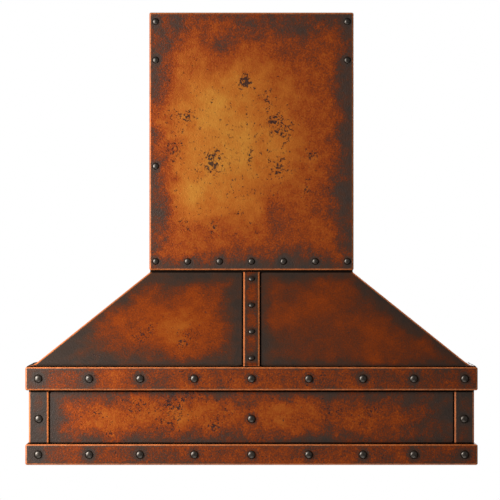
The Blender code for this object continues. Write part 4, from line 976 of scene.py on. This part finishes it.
# ================================================================ lamps
LAMP_TUBE, LAMP_WALL = 0.0215, 0.0012  # outer radius of a housing's tube, and its thickness
LAMP_RIM = 0.003  # height of the bezel below the tube
DOME_DIP, DOME_STEPS = 0.0014, 8  # of a lens
MATERIAL_SLOTS = {entry["node"]: entry["material_slot"] for entry in frame["record"]["subparts"]}


def housing_profile(bezel, hole, low, high):
    """A thin can with a rounded bezel round its open foot, all in (radius, z)."""
    seat = low + LAMP_RIM
    inner = LAMP_TUBE - LAMP_WALL
    return (
        (0.0, high),
        (LAMP_TUBE - 0.002, high),
        (LAMP_TUBE, high - 0.002),
        (LAMP_TUBE, seat),
        (bezel, seat),
        (bezel, seat - 0.0008),
        (bezel - 0.0006, seat - 0.0018),
        (bezel - 0.0022, low + 0.0004),
        (bezel - 0.0040, low),
        (hole + 0.0008, low),
        (hole, low + 0.0006),
        (hole, seat),
        (inner, seat + 0.002),
        (inner, high - LAMP_WALL),
        (0.0, high - LAMP_WALL),
    )


def lens_profile(radius, low, high):
    """A disc with a shallow dome below, all in (radius, z)."""
    edge = low + DOME_DIP
    points = [(0.0, high), (radius, high), (radius, low + 0.0016)]
    for k in range(1, DOME_STEPS):
        angle = k / DOME_STEPS * math.pi / 2
        points.append((radius * math.cos(angle), edge - DOME_DIP * math.sin(angle)))
    return [*points, (0.0, low)]


def make_lamps():
    """Finer turned bezels and domed lenses in place of the CAD's."""
    for end in ("front", "rear"):
        for hand in ("left", "right"):
            housing, lens = f"lamp_housing_{end}_{hand}", f"lamp_lens_{end}_{hand}"
            low, high = (Vector(corner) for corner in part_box(housing))
            glass_low, glass_high = (Vector(corner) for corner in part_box(lens))
            centre = (low + high) / 2
            centre.z = 0
            bezel, radius = (high.x - low.x) / 2, (glass_high.x - glass_low.x) / 2
            can = housing_profile(bezel, radius + GAP, low.z, high.z)
            make_turned(f"{housing}_turned", can, centre, housing)
            dome = lens_profile(radius, glass_low.z, glass_high.z)
            make_turned(f"{lens}_domed", dome, centre, lens)


def make_turned(name, profile, centre, node):
    """A turned piece that stands for a node, with its profile's sharp corners kept sharp."""
    shape = bmesh.new()
    lathe(shape, profile, LAMP_STEPS, Matrix.Translation(centre))
    bmesh.ops.recalc_face_normals(shape, faces=shape.faces)
    obj = add_piece(name, shape, MATERIAL_SLOTS[node])
    obj.data.set_sharp_from_angle(angle=math.radians(40))
    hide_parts(node)


# ================================================================ stage, lights and camera
FLOOR_DROP = 1.60  # from the hood's foot to the floor
FLOOR_HALF = 1.4
WORLD_LIGHT = 0.12  # strength of the white surroundings as a light
CAMERA_DISTANCE = 20.0  # from the front of the bands
VIEW_WIDTH = 1.179  # seen across the front of the bands
VIEW_CENTRE = (-0.0035, -0.5650)  # x and z at the middle of the picture


def make_stage():
    shape = bmesh.new()
    bmesh.ops.create_grid(shape, x_segments=24, y_segments=24, size=FLOOR_HALF)
    tree = Tree("pale_floor")
    tone = tree.noise(tree.place(), 0.6, 3)
    colour = tree.mix(tone, (0.80, 0.80, 0.80), (0.86, 0.86, 0.855))
    floor = link_mesh("floor", shape, tree.finish(colour, 0.7, 0.0))
    floor.location.z = CAD_BOX[0][2] - FLOOR_DROP


def area_light(name, place, target, size, watts):
    light = bpy.data.lights.new(name, "AREA")
    light.shape = "RECTANGLE"
    light.size, light.size_y = size
    light.energy = watts
    obj = bpy.data.objects.new(name, light)
    bpy.context.scene.collection.objects.link(obj)
    obj.location = place
    obj.rotation_euler = (Vector(target) - obj.location).to_track_quat("-Z", "Y").to_euler()


def make_lights():
    """Soft lights, strongest from the front left, so that the right side is darker."""
    middle = (0, -0.2, -0.5)
    area_light("key", (-2.0, -2.3, 0.8), middle, (1.2, 1.2), 34)
    area_light("side", (-1.30, -1.35, -0.15), (-0.3, -0.3, -0.6), (0.6, 0.7), 27)
    area_light("left", (-1.05, -0.95, -0.80), (-0.5, -0.34, -0.90), (0.3, 0.6), 9.0)
    area_light("fill", (2.6, -3.0, 0.0), middle, (2.0, 2.0), 4)
    area_light("back", (1.5, 3.2, 0.6), middle, (2.0, 2.0), 80)
    area_light("under", (0.0, -1.2, -2.4), (0, 0, -1.0), (1.6, 1.6), 10)


def make_world():
    """Seen as white, but lighting the hood only a little."""
    world = bpy.data.worlds.new("studio")
    bpy.context.scene.world = world
    world.use_nodes = True
    nodes, links = world.node_tree.nodes, world.node_tree.links
    seen, lighting = nodes["Background"], nodes.new("ShaderNodeBackground")
    seen.inputs["Color"].default_value = (1, 1, 1, 1)
    seen.inputs["Strength"].default_value = 1.0
    lighting.inputs["Color"].default_value = (1.0, 0.99, 0.98, 1)
    lighting.inputs["Strength"].default_value = WORLD_LIGHT
    rays, mix = nodes.new("ShaderNodeLightPath"), nodes.new("ShaderNodeMixShader")
    links.new(rays.outputs["Is Camera Ray"], mix.inputs[0])
    links.new(lighting.outputs[0], mix.inputs[1])
    links.new(seen.outputs[0], mix.inputs[2])
    links.new(mix.outputs[0], nodes["World Output"].inputs["Surface"])
    bpy.context.scene.view_settings.view_transform = "Standard"


def make_camera():
    data = bpy.data.cameras.new("camera")
    data.lens = data.sensor_width * CAMERA_DISTANCE / VIEW_WIDTH
    data.clip_end = 100
    camera = bpy.data.objects.new("camera", data)
    bpy.context.scene.collection.objects.link(camera)
    camera.location = (VIEW_CENTRE[0], -BAND_Y - CAMERA_DISTANCE, VIEW_CENTRE[1])
    camera.rotation_euler = (math.pi / 2, 0, 0)
    bpy.context.scene.camera = camera


# ================================================================ the scene
finish_cad_nodes()
make_chimney()
make_canopy()
make_seam_straps()
make_bands()
make_aprons()
make_corner_straps()
make_lamps()
make_stage()
make_lights()
make_world()
make_camera()
